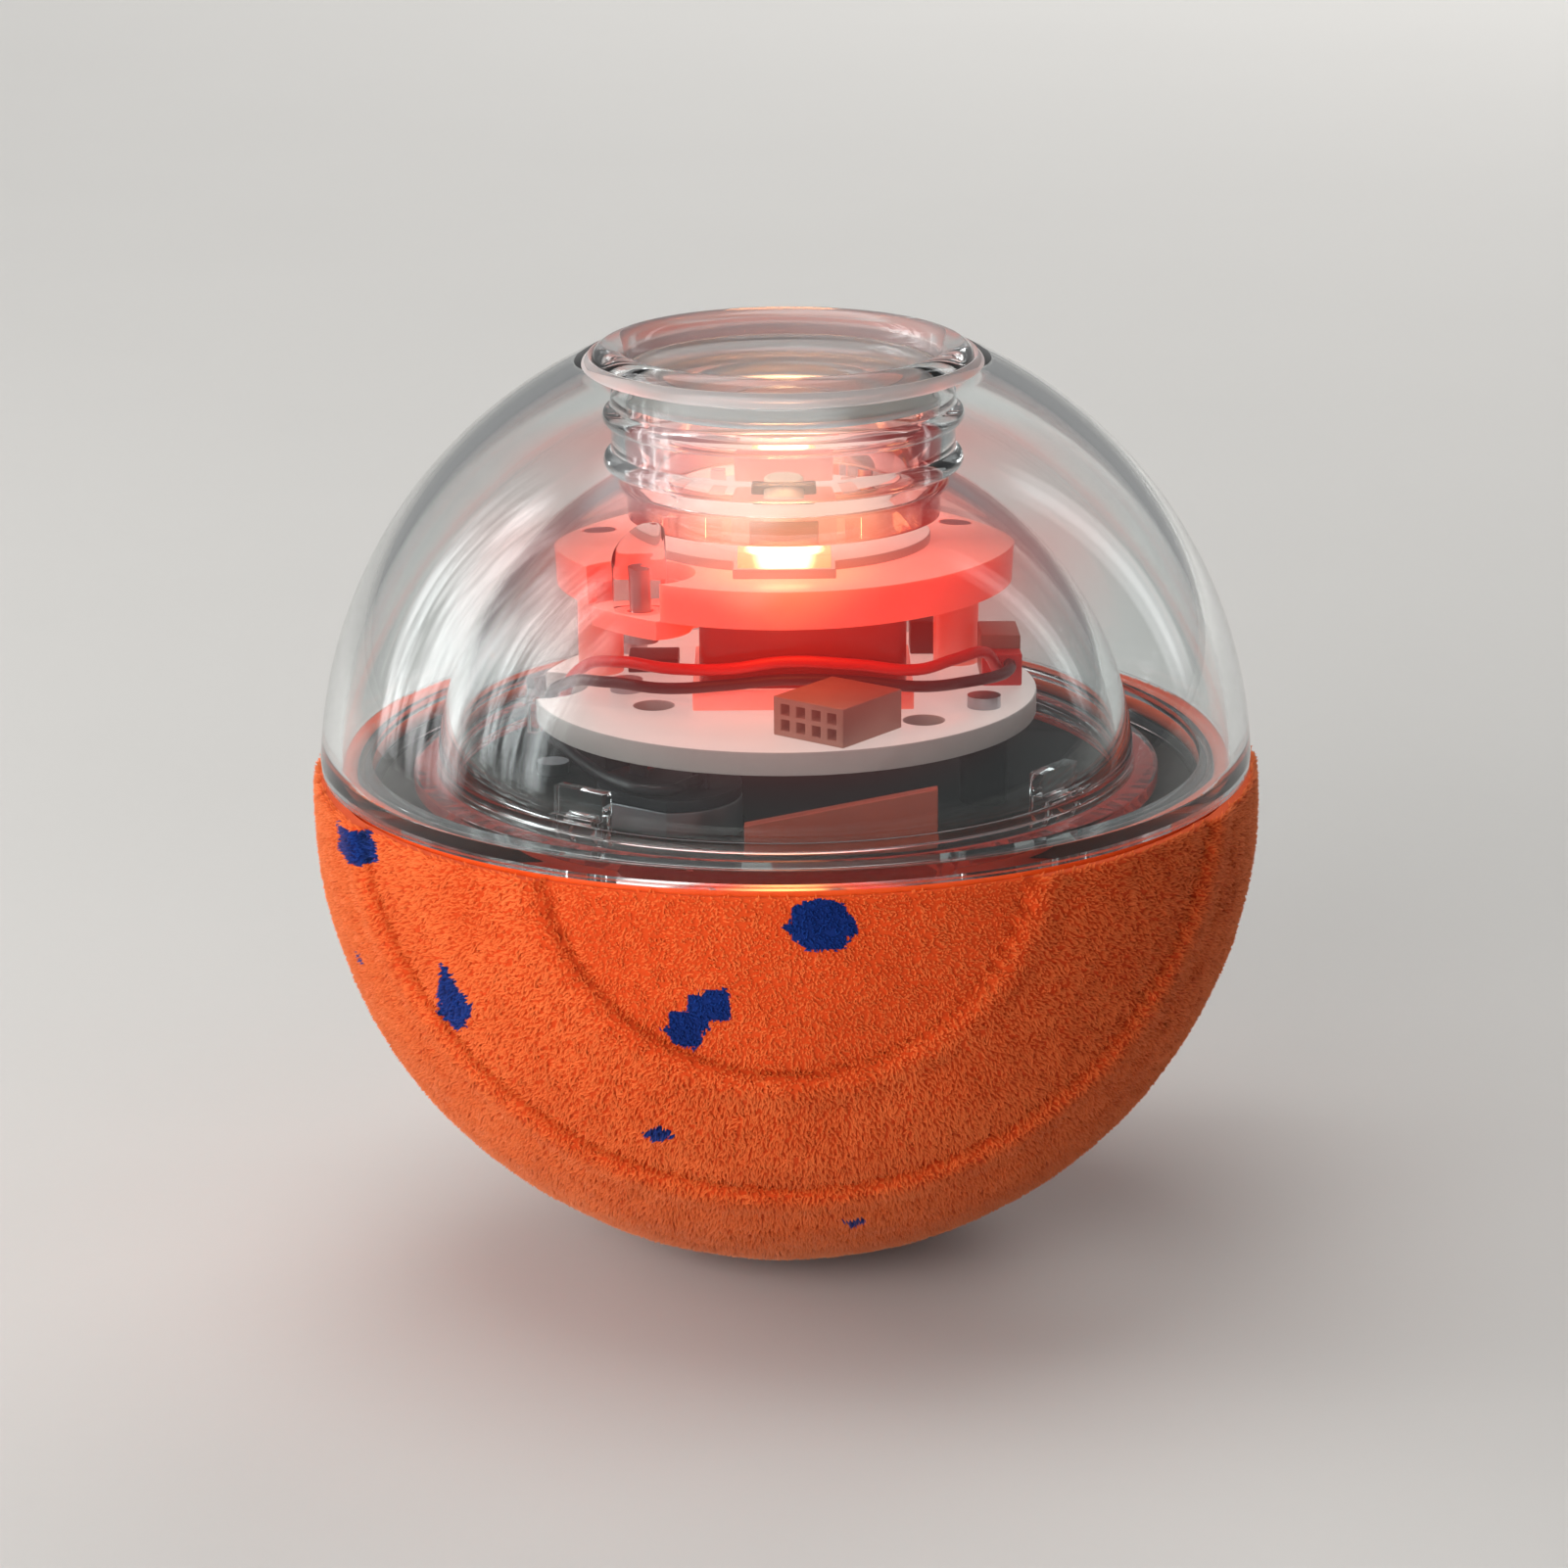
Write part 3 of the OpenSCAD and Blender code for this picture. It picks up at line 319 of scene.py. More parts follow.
# %% Clear acrylic
WAVE_BUMP = 0.15
WAVE_DEPTH = 0.05


def clear_acrylic(name, tint, wave, haze, bending=1.49, polish=0, clearness=1):
    """Polished clear plastic with waves of a length in millimetres and a little haze."""
    material, tree, shader, place = new_material(
        name, {"Base Color": linear(tint), "IOR": bending, "Transmission Weight": clearness,
               "Coat Weight": polish})
    flow = add_node(tree, "TexNoise", {"Scale": 1 / (wave * MM), "Detail": 1}, {"Vector": place})
    gloss = add_node(tree, "MapRange", {"To Min": haze / 2, "To Max": haze}, {"Value": flow})
    tree.links.new(gloss.outputs[0], shader.inputs["Roughness"])
    bump = add_node(tree, "Bump", {"Strength": WAVE_BUMP, "Distance": WAVE_DEPTH * MM}, {"Height": flow})
    tree.links.new(bump.outputs[0], shader.inputs["Normal"])
    lamp_ray = add_node(tree, "LightPath").outputs["Is Shadow Ray"]
    passing = add_node(tree, "BsdfTransparent", {"Color": linear(tint)})
    mix = add_node(tree, "MixShader", links={0: lamp_ray, 1: shader, 2: passing})
    tree.links.new(mix.outputs[0], tree.nodes["Material Output"].inputs["Surface"])
    return material


# %% [markdown]
# Red lamps burn inside the capsule. Clear plastic near them scatters a little of their light, which the
# eye sees as a red haze round the crown. The haze is painted light: the plastic glows, and its base
# colour is tinted pink, by how near it is to a lamp. The haze fades with the distance to a lamp, so that
# it stays in place whoever looks and from wherever.

# %% Red haze
LAMP_PLACES = ((0, -12.4, 23.8), (0, 12.4, 23.8))
HAZE = "#FF1E12"
LEVEL_FADE = 5
CORE_GAIN = 2.5


def glow_near_lamps(material, colour, near, far, strong, weak, painted_tint=None, core=None, below=None):
    """Gives a material a glow that fades between two distances in millimetres from the lamps.

    It can also end above a height, have its base colour tinted where the glow is, as painted light, and
    have a brighter glow of another colour at its core.
    """
    tree = material.node_tree
    shader = shader_of(material)
    shader.inputs["Emission Color"].default_value = linear(colour)
    spot = add_node(tree, "TexCoord").outputs["Object"]
    distances = [
        add_node(tree, "VectorMath", {1: to_frame @ Vector(place)}, {0: spot},
                 operation="DISTANCE").outputs["Value"]
        for place in LAMP_PLACES
    ]
    nearest = add_node(tree, "Math", None, {0: distances[0], 1: distances[1]}, operation="MINIMUM")
    fade = add_node(tree, "MapRange",
                    {"From Min": near * MM, "From Max": far * MM, "To Min": strong, "To Max": weak},
                    {"Value": nearest}, interpolation_type="SMOOTHSTEP")
    if below:
        ends = [(to_frame @ Vector((0, 0, height))).z for height in (below, below + LEVEL_FADE)]
        height = add_node(tree, "SeparateXYZ", links={0: spot}).outputs["Z"]
        limit = add_node(tree, "MapRange",
                         {"From Min": ends[0], "From Max": ends[1], "To Min": 1, "To Max": 0},
                         {"Value": height}, interpolation_type="SMOOTHSTEP")
        fade = add_node(tree, "Math", None, {0: fade, 1: limit}, operation="MULTIPLY")
    tree.links.new(fade.outputs[0], shader.inputs["Emission Strength"])
    # Painted light: where the glow is, the base colour turns towards the tint.
    if painted_tint:
        share = add_node(tree, "MapRange", {"From Max": strong}, {"Value": fade})
        plain = shader.inputs["Base Color"].default_value[:]
        tint = add_node(tree, "Mix", {6: plain, 7: linear(painted_tint)}, {"Factor": share}, data_type="RGBA")
        tree.links.new(tint.outputs[2], shader.inputs["Base Color"])
    if core:
        share = add_node(tree, "MapRange",
                         {"From Min": near * MM, "From Max": (near * 2 + far) / 3 * MM},
                         {"Value": nearest}, interpolation_type="SMOOTHSTEP")
        bright = [CORE_GAIN * part for part in linear(core)]
        light = add_node(tree, "Mix", {6: bright, 7: linear(colour)},
                         {"Factor": share}, data_type="RGBA")
        tree.links.new(light.outputs[2], shader.inputs["Emission Color"])


clear = clear_acrylic("acrylic_dome", "#F7FAFA", 14, 0.02, bending=1.4)
# Painted light: the dome glows red near the lamps, and its base colour is tinted pink there.
glow_near_lamps(clear, HAZE, 15, 30, 0.1, 0, painted_tint="#F0BAB1", below=26)
cement = clear_acrylic("acrylic_cement", "#ECE5E3", 9, 0.8, bending=1.1, clearness=0.62)
clear_crown = clear_acrylic("acrylic_crown", "#F9FBFB", 9, 0.05, bending=1.2, polish=0.7)
clear_cap = clear_acrylic("acrylic_cap_satin", "#E6E7E7", 9, 0.6, bending=1.28, polish=0.7)
clear_capsule = clear_acrylic("acrylic_capsule", "#F7FAFA", 12, 0.02, bending=1.42)
# Painted light: the capsule glows red near the lamps, with a warm core, and its base colour is tinted
# pink there.
glow_near_lamps(clear_capsule, HAZE, 5, 26, 0.08, 0, painted_tint="#F5D6D0", core="#FFC8A0")
clear_boss = clear_acrylic("acrylic_boss", "#FAFCFC", 12, 0.04, bending=1.09, polish=0.7)
acrylics = (clear, cement, clear_crown, clear_cap, clear_capsule, clear_boss)
print("made", [material.name for material in acrylics])

# %% [markdown]
# Round pieces are turned: an outline is drawn beside the axis and spun once round. An outline
# is a list of corners, with arcs for its round stretches. Sharp edges of real mouldings are
# never quite sharp, so they are bevelled, and every bevel catches a thin line of light.

# %% Turning and bevelling
SPIN_STEPS = 144
SAME_POINT = 0.0005
SHARP = math.radians(32)
slot_of = {part["node"]: part["material_slot"] for part in frame["record"]["subparts"]}


def arc(middle, radius, start, end, count):
    """Points on an arc round a middle, from a start angle to an end angle in degrees."""
    angles = [math.radians(start + (end - start) * i / count) for i in range(count + 1)]
    return [(middle[0] + radius * math.cos(a), middle[1] + radius * math.sin(a)) for a in angles]


def in_order(bm):
    """The same bmesh with its edges and faces in one order. Some operators leave them in any."""
    bm.verts.index_update()
    count = len(bm.verts)

    def rank(part):
        """A number that only this edge or face has, from its first and last vertex."""
        places = [vert.index for vert in part.verts]
        return min(places) * count + max(places)

    bm.edges.sort(key=rank)
    bm.faces.sort(key=rank)
    return bm


def spun(outline, closed=True, steps=SPIN_STEPS):
    """A bmesh of an outline of (radius, height) points, spun round the upright axis."""
    bm = bmesh.new()
    corners = [bm.verts.new((radius, 0, height)) for radius, height in outline]
    pairs = list(zip(corners, corners[1:] + corners[:1]))
    lines = [bm.edges.new(pair) for pair in (pairs if closed else pairs[:-1])]
    bmesh.ops.spin(bm, geom=corners + lines, axis=(0, 0, 1), cent=(0, 0, 0), angle=math.tau,
                   steps=steps, use_merge=True)
    bmesh.ops.remove_doubles(bm, verts=bm.verts, dist=SAME_POINT)
    bmesh.ops.recalc_face_normals(bm, faces=bm.faces)
    return in_order(bm)


def bevelled(bm, width, segments=2):
    """The same bmesh with its sharp edges rounded off."""
    edges = [edge for edge in bm.edges if edge.is_manifold and edge.calc_face_angle() > SHARP]
    bmesh.ops.bevel(bm, geom=edges, offset=width, affect="EDGES", segments=segments, profile=0.5,
                    material=-1, clamp_overlap=True)
    return in_order(bm)


def settle(piece, node):
    """Puts a piece into the scene. It stands for a solid and rides on that solid's body."""
    scene.collection.objects.link(piece)
    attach(piece, frame["nodes"][node]["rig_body"])
    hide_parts(node)


def add_piece(name, bm, material, node):
    """Makes a piece of a bmesh."""
    bmesh.ops.transform(bm, matrix=to_frame, verts=bm.verts)
    mesh = bpy.data.meshes.new(name)
    bm.to_mesh(mesh)
    bm.free()
    mesh.shade_smooth()
    mesh.set_sharp_from_angle(angle=SHARP)
    mesh.materials.append(material)
    piece = bpy.data.objects.new(name, mesh)
    settle(piece, node)
    print(name, "faces:", len(mesh.polygons))
    return piece


# %% [markdown]
# The clear dome is a half ball with a spigot that plugs into the lower shell. The ledge and
# the spigot make the two or three bright lines that run round the rim. It could be a sphere
# cut in half with Solidify, but turning its real section gives the rim its true steps. At the
# crown the dome is cemented to the collar, and cement leaves the wall of that hole satin.

# %% Clear dome
DOME_WALL = 1.8
DOME_DROP = 1.2
SPIGOT_DEPTH = 2.2
SPIGOT_WALL = 1.2
SPIGOT_GAP = 0.3
CROWN_GAP = 0.12
DOME_ROWS = 40
EDGE = 0.18

rim = span("clear_dome")[0].z + SPIGOT_DEPTH
dome_middle = (0, rim - DOME_DROP)
dome_radius = math.hypot(reach("clear_dome"), DOME_DROP)
dome_inside = dome_radius - DOME_WALL
shell_inside = shell_radius - DOME_WALL
spigot_radius = shell_inside - SPIGOT_GAP
spigot_bore = spigot_radius - SPIGOT_WALL
crown_hole = reach("crown_collar") + CROWN_GAP


def angle_at(radius, at):
    """Angle on an arc at which its distance from the axis has a value."""
    return math.degrees(math.acos(at / radius))


foot_angle = math.degrees(math.asin(DOME_DROP / dome_radius))
ledge_angle = math.degrees(math.asin((DOME_DROP + SPIGOT_WALL) / dome_inside))
dome_outline = (
    arc(dome_middle, dome_radius, foot_angle, angle_at(dome_radius, crown_hole), DOME_ROWS)
    + arc(dome_middle, dome_inside, angle_at(dome_inside, crown_hole), ledge_angle, DOME_ROWS)
    + [(spigot_bore, rim + SPIGOT_WALL), (spigot_bore, rim - SPIGOT_DEPTH),
       (spigot_radius, rim - SPIGOT_DEPTH), (spigot_radius, rim)]
)
dome = bevelled(spun(dome_outline), EDGE)
for face in dome.faces:
    face.material_index = int(face.calc_center_median().xy.length < crown_hole + EDGE)
dome_piece = add_piece("dome_acrylic", dome, clear, "clear_dome")
dome_piece.data.materials.append(cement)

# %% [markdown]
# The crown is a collar in the top of the dome: a rounded lip, a tube and two rings round the
# tube. The end cap plugs it and is dished, with a cup for a fingertip. A round seal sits in
# a groove of the cap's skirt. All three are turned, with the arcs where the solids have theirs.

# %% Crown collar and end cap
NECK_RADIUS = 14.6
NECK_BORE = 13.3
LIP_RADIUS = 1.5
LIP_CIRCLE = NECK_BORE + LIP_RADIUS
RING_RADIUS = 0.9
RING_SINK = 0.2
RING_CIRCLE = NECK_RADIUS - RING_SINK
RING_PITCH = 3.7
CAP_WALL = 1.4
CAP_EDGE = 0.5
CAP_STEP = 0.4
CUP_RADIUS = 9
CUP_ROUND = 0.65
SEAL_RADIUS = 0.6
LIP_ROWS, RING_ROWS, CAP_ROWS, CUP_ROWS = 28, 16, 12, 8

collar_low, collar_high = span("crown_collar")
foot, lip_height = collar_low.z, collar_high.z - LIP_RADIUS
lip_under = angle_at(LIP_RADIUS, NECK_RADIUS - LIP_CIRCLE)
ring_side = angle_at(RING_RADIUS, NECK_RADIUS - RING_CIRCLE)
ring_heights = [foot + RING_RADIUS + RING_PITCH, foot + RING_RADIUS]
collar_outline = (
    [(NECK_BORE, foot), (NECK_BORE, lip_height)]
    + arc((LIP_CIRCLE, lip_height), LIP_RADIUS, 180, -lip_under, LIP_ROWS)
    + arc((RING_CIRCLE, ring_heights[0]), RING_RADIUS, ring_side, -ring_side, RING_ROWS)
    + arc((RING_CIRCLE, ring_heights[1]), RING_RADIUS, ring_side, -90, RING_ROWS)
)
add_piece("collar_acrylic", bevelled(spun(collar_outline), EDGE), clear_crown, "crown_collar")

cap_low, cap_high = span("end_cap")
cap_radius = reach("end_cap")
cap_floor = cap_low.z + CAP_WALL
cap_shelf = cap_high.z - CAP_WALL
cup_bore = CUP_RADIUS - CAP_WALL
seal_low, seal_high = span("cap_seal")
seal_place = (reach("cap_seal") - SEAL_RADIUS, (seal_low.z + seal_high.z) / 2)
groove = angle_at(SEAL_RADIUS, cap_radius - seal_place[0])
cap_outline = (
    [(0, cap_low.z)]
    + arc((cup_bore, cap_floor), CAP_WALL, -90, 0, CAP_ROWS)
    + [(cap_radius - CAP_WALL, cap_floor), (cap_radius - CAP_WALL, cap_floor - CAP_STEP),
       (cap_radius, cap_floor - CAP_STEP)]
    + arc(seal_place, SEAL_RADIUS, -groove, groove - 360, RING_ROWS)
    + [(cap_radius, cap_high.z)]
    + arc((cap_radius - CAP_EDGE - CAP_WALL, cap_high.z), CAP_WALL, 0, -90, CAP_ROWS)
    + arc((cup_bore + CUP_ROUND, cap_shelf - CUP_ROUND), CUP_ROUND, 90, 180, CUP_ROWS)
    + arc((cup_bore - CUP_ROUND, cap_floor + CUP_ROUND), CUP_ROUND, 0, -90, CUP_ROWS)
    + [(0, cap_floor)]
)
add_piece("cap_acrylic", bevelled(spun(cap_outline, closed=False), EDGE), clear_cap, "end_cap")

# %% [markdown]
# The capsule dome is the inner clear shell: a foot flange, a bead for the latch clips, a neck
# that runs up into the collar, and two bosses that the upper deck is screwed to. The bosses
# start as plain cylinders. Their tops are then lifted to the dome's inner wall.

# %% Capsule dome
CAPSULE_WALL = 1.4
FLANGE_THICKNESS = 1.3
FLANGE_WIDTH = 2
BEAD_HEIGHT = 0.8
BEAD_REACH = 0.7
CAPSULE_NECK_WALL = 1.6
NECK_PLAY = 0.1
NECK_FOOT = 24.1
BOSS_RADIUS = 2.2
BOSS_CIRCLE = 17.0
BOSS_ANGLES = (226, 60)
BOSS_SIDES = 40
BOSS_FOOT = 18.8
BOSS_MIDDLE = 25
BOSS_SEAT = 0.1

flange_low, capsule_high = span("capsule_dome")
tray_top = span("carrier_tray")[1].z
capsule_radius = reach("capsule_dome") - FLANGE_WIDTH
capsule_inside = capsule_radius - CAPSULE_WALL
flange_top = flange_low.z + FLANGE_THICKNESS
bead_top = flange_top + BEAD_HEIGHT
capsule_neck = NECK_BORE - NECK_PLAY
capsule_bore = capsule_neck - CAPSULE_NECK_WALL


def rise(radius, height):
    """Angle on a capsule arc at which it has a height."""
    return math.degrees(math.asin((height - tray_top) / radius))


capsule_outline = (
    [(capsule_inside, flange_low.z), (capsule_radius + FLANGE_WIDTH, flange_low.z),
     (capsule_radius + FLANGE_WIDTH, flange_top)]
    + arc((0, tray_top), capsule_radius, rise(capsule_radius, flange_top),
          angle_at(capsule_radius, capsule_neck), DOME_ROWS)
    + [(capsule_neck, capsule_high.z), (capsule_bore, capsule_high.z),
       (capsule_bore, NECK_FOOT), (capsule_neck, NECK_FOOT)]
    + arc((0, tray_top), capsule_inside, angle_at(capsule_inside, capsule_neck),
          rise(capsule_inside, bead_top), DOME_ROWS)
    + [(capsule_inside - BEAD_REACH, bead_top), (capsule_inside - BEAD_REACH, flange_top),
       (capsule_inside, flange_top)]
)
add_piece("capsule_acrylic", bevelled(spun(capsule_outline), EDGE), clear_capsule, "capsule_dome")

bosses = bmesh.new()
for angle in BOSS_ANGLES:
    turn = Matrix.Rotation(math.radians(angle), 4, "Z")
    place = turn @ Matrix.Translation((BOSS_CIRCLE, 0, BOSS_MIDDLE))
    bmesh.ops.create_cone(bosses, cap_ends=True, segments=BOSS_SIDES, radius1=BOSS_RADIUS,
                          radius2=BOSS_RADIUS, depth=1, matrix=place)
for vert in bosses.verts:
    from_axis = vert.co.xy.length
    wall = tray_top + math.sqrt((capsule_inside - BOSS_SEAT) ** 2 - from_axis ** 2)
    vert.co.z = wall if vert.co.z > BOSS_MIDDLE else BOSS_FOOT
add_piece("capsule_bosses", bevelled(bosses, EDGE), clear_boss, "capsule_dome")

# %% [markdown]
# The seals are moulded rubber: an orange one between the halves, with a round inner edge that
# shows all round through the dome, a red one under the capsule and a pale one on the end cap.

# %% Seals
GASKET_INSET = 0.5
GASKET_EDGE = 0.1
seal_orange = mottled("silicone_rubber_orange", ("#F0581C", "#E04A12"), 6, (0.32, 0.5), 0.5, 0.02,
                      Subsurface_Weight=0.15, Subsurface_Scale=0.002, IOR=1.41)
gasket_red = mottled("silicone_rubber_red", ("#D8402A", "#C23420"), 5, (0.35, 0.55), 0.5, 0.02,
                     IOR=1.41)
seal_pale = mottled("silicone_rubber_clear", ("#F1EEE8", "#E6E2DA"), 5, (0.3, 0.4), 0.5, 0.02,
                    Transmission_Weight=0.9, IOR=1.41)

ring_low, ring_high = span("seal_ring")
bulge = (ring_high.z - ring_low.z) / 2
seal_reach = reach("seal_ring")
seal_outline = (
    arc((shell_inside + bulge, ring_low.z + bulge), bulge, 90, 270, RING_ROWS)
    + [(seal_reach, ring_low.z), (seal_reach, ring_high.z)]
)
add_piece("rim_seal", bevelled(spun(seal_outline), EDGE), seal_orange, "seal_ring")

gasket_low, gasket_high = span("capsule_gasket")
gasket_reach = reach("capsule_gasket")
gasket_bore = capsule_inside + GASKET_INSET
gasket_outline = [
    (gasket_bore, gasket_low.z), (gasket_reach, gasket_low.z),
    (gasket_reach, gasket_high.z), (gasket_bore, gasket_high.z)
]
add_piece("foot_gasket", bevelled(spun(gasket_outline), GASKET_EDGE), gasket_red, "capsule_gasket")
seal_circle = arc(seal_place, SEAL_RADIUS, 0, 360, RING_ROWS)[:-1]
add_piece("cap_ring", spun(seal_circle), seal_pale, "cap_seal")

# %% [markdown]
# The lower half wears a short terry plush. Two round panels are pressed into it, one inside
# the other, front and back, and the plush swells a little along their edges. It could be a
# particle system, but hair isn't kept in the exported model. Here a closed skin carries the
# form, and tufts of real mesh stand on it. The skin is turned finely enough that its vertices
# can be pressed in where a panel lies.

# %% Plush skin
PILE_LENGTH = 0.6
SKIN_STEPS = 288
OUTER_ROWS = 120
INNER_ROWS = 40
SHELL_GAP = 0.05
LIP_GAP = 0.3
LIP_DROP = 0.45
LIP_ROLL = 0.3
ROLL_ROWS = 6
PANELS = ((31, 11), (63, 23))
PANEL_STEP = 0.5
STEP_HALF_WIDTH = 0.35
SHOULDER = 0.3
SHOULDER_WIDTH = 1.5
CREASE = 0.2
CREASE_WIDTH = 0.36
SWELL = 0.14
SWELL_LENGTH = 7
RUFFLE = 0.06
RUFFLE_LENGTH = 1.8

skin_radius = ball_radius - PILE_LENGTH
skin_inside = shell_radius + SHELL_GAP
cover_low, cover_high = span("plush_cover")
lip_top = cover_high.z - LIP_DROP
lip_place = (skin_radius - LIP_ROLL, lip_top - LIP_ROLL)
lip_angle = math.degrees(math.asin(lip_place[1] / skin_radius))


def panel_form(direction):
    """Depth of the panels' steps, of their swollen edges and of their creases in a direction."""
    step, edge, crease = 0, 0, 0
    for face in (-1, 1):
        for angle, tilt in PANELS:
            lean = math.radians(tilt)
            axis = Vector((0, face * math.cos(lean), math.sin(lean)))
            away = skin_radius * (axis.angle(direction) - math.radians(angle))
            step += 0.5 - 0.5 * math.tanh(away / STEP_HALF_WIDTH)
            edge += math.exp(-((away - SHOULDER_WIDTH) / SHOULDER_WIDTH) ** 2)
            crease += math.exp(-((away + CREASE_WIDTH / 2) / CREASE_WIDTH) ** 2)
    return step, edge, crease


skin_outline = (
    arc((0, 0), skin_inside, -90, 0, INNER_ROWS)
    + [(skin_inside, lip_place[1]), (shell_radius + LIP_GAP, lip_top)]
    + arc(lip_place, LIP_ROLL, 90, lip_angle, ROLL_ROWS)
    + arc((0, 0), skin_radius, lip_angle, -90, OUTER_ROWS)[1:]
)
skin = spun(skin_outline, closed=False, steps=SKIN_STEPS)
short_layer = skin.verts.layers.float.new("short")
crease_shade_layer = skin.verts.layers.float.new("crease")
for vert in skin.verts:
    direction = vert.co.normalized()
    share = min(max((vert.co.length - skin_inside) / (skin_radius - skin_inside), 0), 1)
    step, edge, crease = panel_form(direction)
    swell = SWELL * noise.noise(vert.co / SWELL_LENGTH)
    swell += RUFFLE * noise.noise(vert.co / RUFFLE_LENGTH)
    vert.co -= direction * share * (PANEL_STEP * step - SHOULDER * edge + CREASE * crease - swell)
    vert.co.z = max(vert.co.z, cover_low.z + PILE_LENGTH / 4)
    vert[short_layer] = max(step - 1, 0)
    # The crease mark darkens the plush's colour in the creases as painted shade.
    vert[crease_shade_layer] = min(crease, 1)
skin.normal_update()
print("skin vertices:", len(skin.verts))

# %% [markdown]
# Blue flecks are printed on the plush. Each is a small outline, drawn on the plane that
# touches the ball at the fleck's middle: millimetres to the right and up. A vertex of the skin
# is blue if it falls inside an outline, and the tufts take that mark from the skin.

# %% Fleck marks
FRONT_FLECKS = (
    (-63, 1, ((-3.3, 1.2), (-0.6, 1.1), (2.6, 1.6), (4.0, -0.6), (0.5, -1.8), (-3.2, -1.5))),
    (-45, -15, ((-0.8, 3.8), (0.8, 1.8), (2.1, 0.3), (1.5, -1.0), (-0.7, -3.0), (-3.0, -1.9))),
    (-67, -15, ((-0.7, 0.9), (1.0, -0.2), (-0.4, -0.6))),
    (4, 0, ((-0.3, 2.3), (1.9, 1.8), (3.1, -0.7), (1.6, -2.3), (-1.0, -2.4), (-3.0, -0.4),
            (-2.3, 1.7))),
    (-11, -12, ((2.8, 2.8), (2.9, -0.1), (1.0, -0.5), (0.4, -2.6), (-0.5, -3.3), (-1.9, -2.8),
                (-2.8, -1.6), (-2.2, 0.3), (-0.9, 0.6), (-0.6, 2.3), (0.3, 2.0), (1.5, 2.8))),
    (-18, -30, ((-1.6, -0.1), (0.3, 1.2), (1.7, 0.0), (-0.4, -1.0))),
    (12, -48, ((-1.3, 0.7), (0.8, 0.7), (0.7, -0.3), (-0.2, -1.1))),
)
BACK_FLECKS = ((105, -4), (128, -20), (150, -3), (168, -30), (188, -8), (212, -24), (238, 0),
               (255, -34), (88, -36), (140, -50))
FLECK_TURN = 47
FLECK_NEAR = 0.98


def back_fleck(number, azimuth, latitude):
    """A fleck for the sides that the photograph doesn't show: one of the front outlines, turned."""
    outline = FRONT_FLECKS[number % len(FRONT_FLECKS)][2]
    turn = Matrix.Rotation(math.radians(FLECK_TURN * number), 2)
    return azimuth, latitude, tuple(tuple(turn @ Vector(point)) for point in outline)


def inside(x, y, outline):
    """True if a point lies inside a closed outline."""
    crossed = False
    for (x1, y1), (x2, y2) in zip(outline, outline[1:] + outline[:1]):
        if (y1 > y) != (y2 > y) and x < x1 + (y - y1) * (x2 - x1) / (y2 - y1):
            crossed = not crossed
    return crossed


flecks = list(FRONT_FLECKS)
flecks += [back_fleck(number, *place) for number, place in enumerate(BACK_FLECKS)]
fleck_planes = []
for azimuth, latitude, outline in flecks:
    around, up = math.radians(azimuth), math.radians(latitude)
    middle = Vector((math.sin(around) * math.cos(up), -math.cos(around) * math.cos(up), math.sin(up)))
    east = Vector((math.cos(around), math.sin(around), 0))
    fleck_planes.append((middle, east, middle.cross(east), outline))


def fleck_at(point):
    """1 on a fleck and 0 elsewhere."""
    direction = point.normalized()
    for middle, east, north, outline in fleck_planes:
        if direction.dot(middle) > FLECK_NEAR:
            if inside(ball_radius * direction.dot(east), ball_radius * direction.dot(north), outline):
                return 1
    return 0


fleck_layer = skin.verts.layers.float.new("fleck")
for vert in skin.verts:
    vert[fleck_layer] = fleck_at(vert.co)
print("flecks:", len(flecks), "blue vertices:", sum(vert[fleck_layer] > 0 for vert in skin.verts))

# %% [markdown]
# The plush material. Its colour is darker at the root of each tuft and bright at the tip, as painted
# shade between the tufts, and the pile has a soft sheen at grazing angles. The tufts carry an attribute
# that says how far a vertex is from its root. The flecks are a print, which dyes a tuft from its root to
# its tip, and the print too is darker at the root as painted shade. Along the panels' creases the colour
# is darkened as painted shade.

# %% Plush material
# Painted shade: in the creases the plush's colour is multiplied towards a dark red.
CREASE_SHADE = 0.68
CREASE_SHADE_COLOUR = (0.48, 0.3, 0.05, 1)
BRUSH_LENGTH = 6
BRUSHED = 0.35
FLECK_FROM, FLECK_TO = 0.35, 0.5


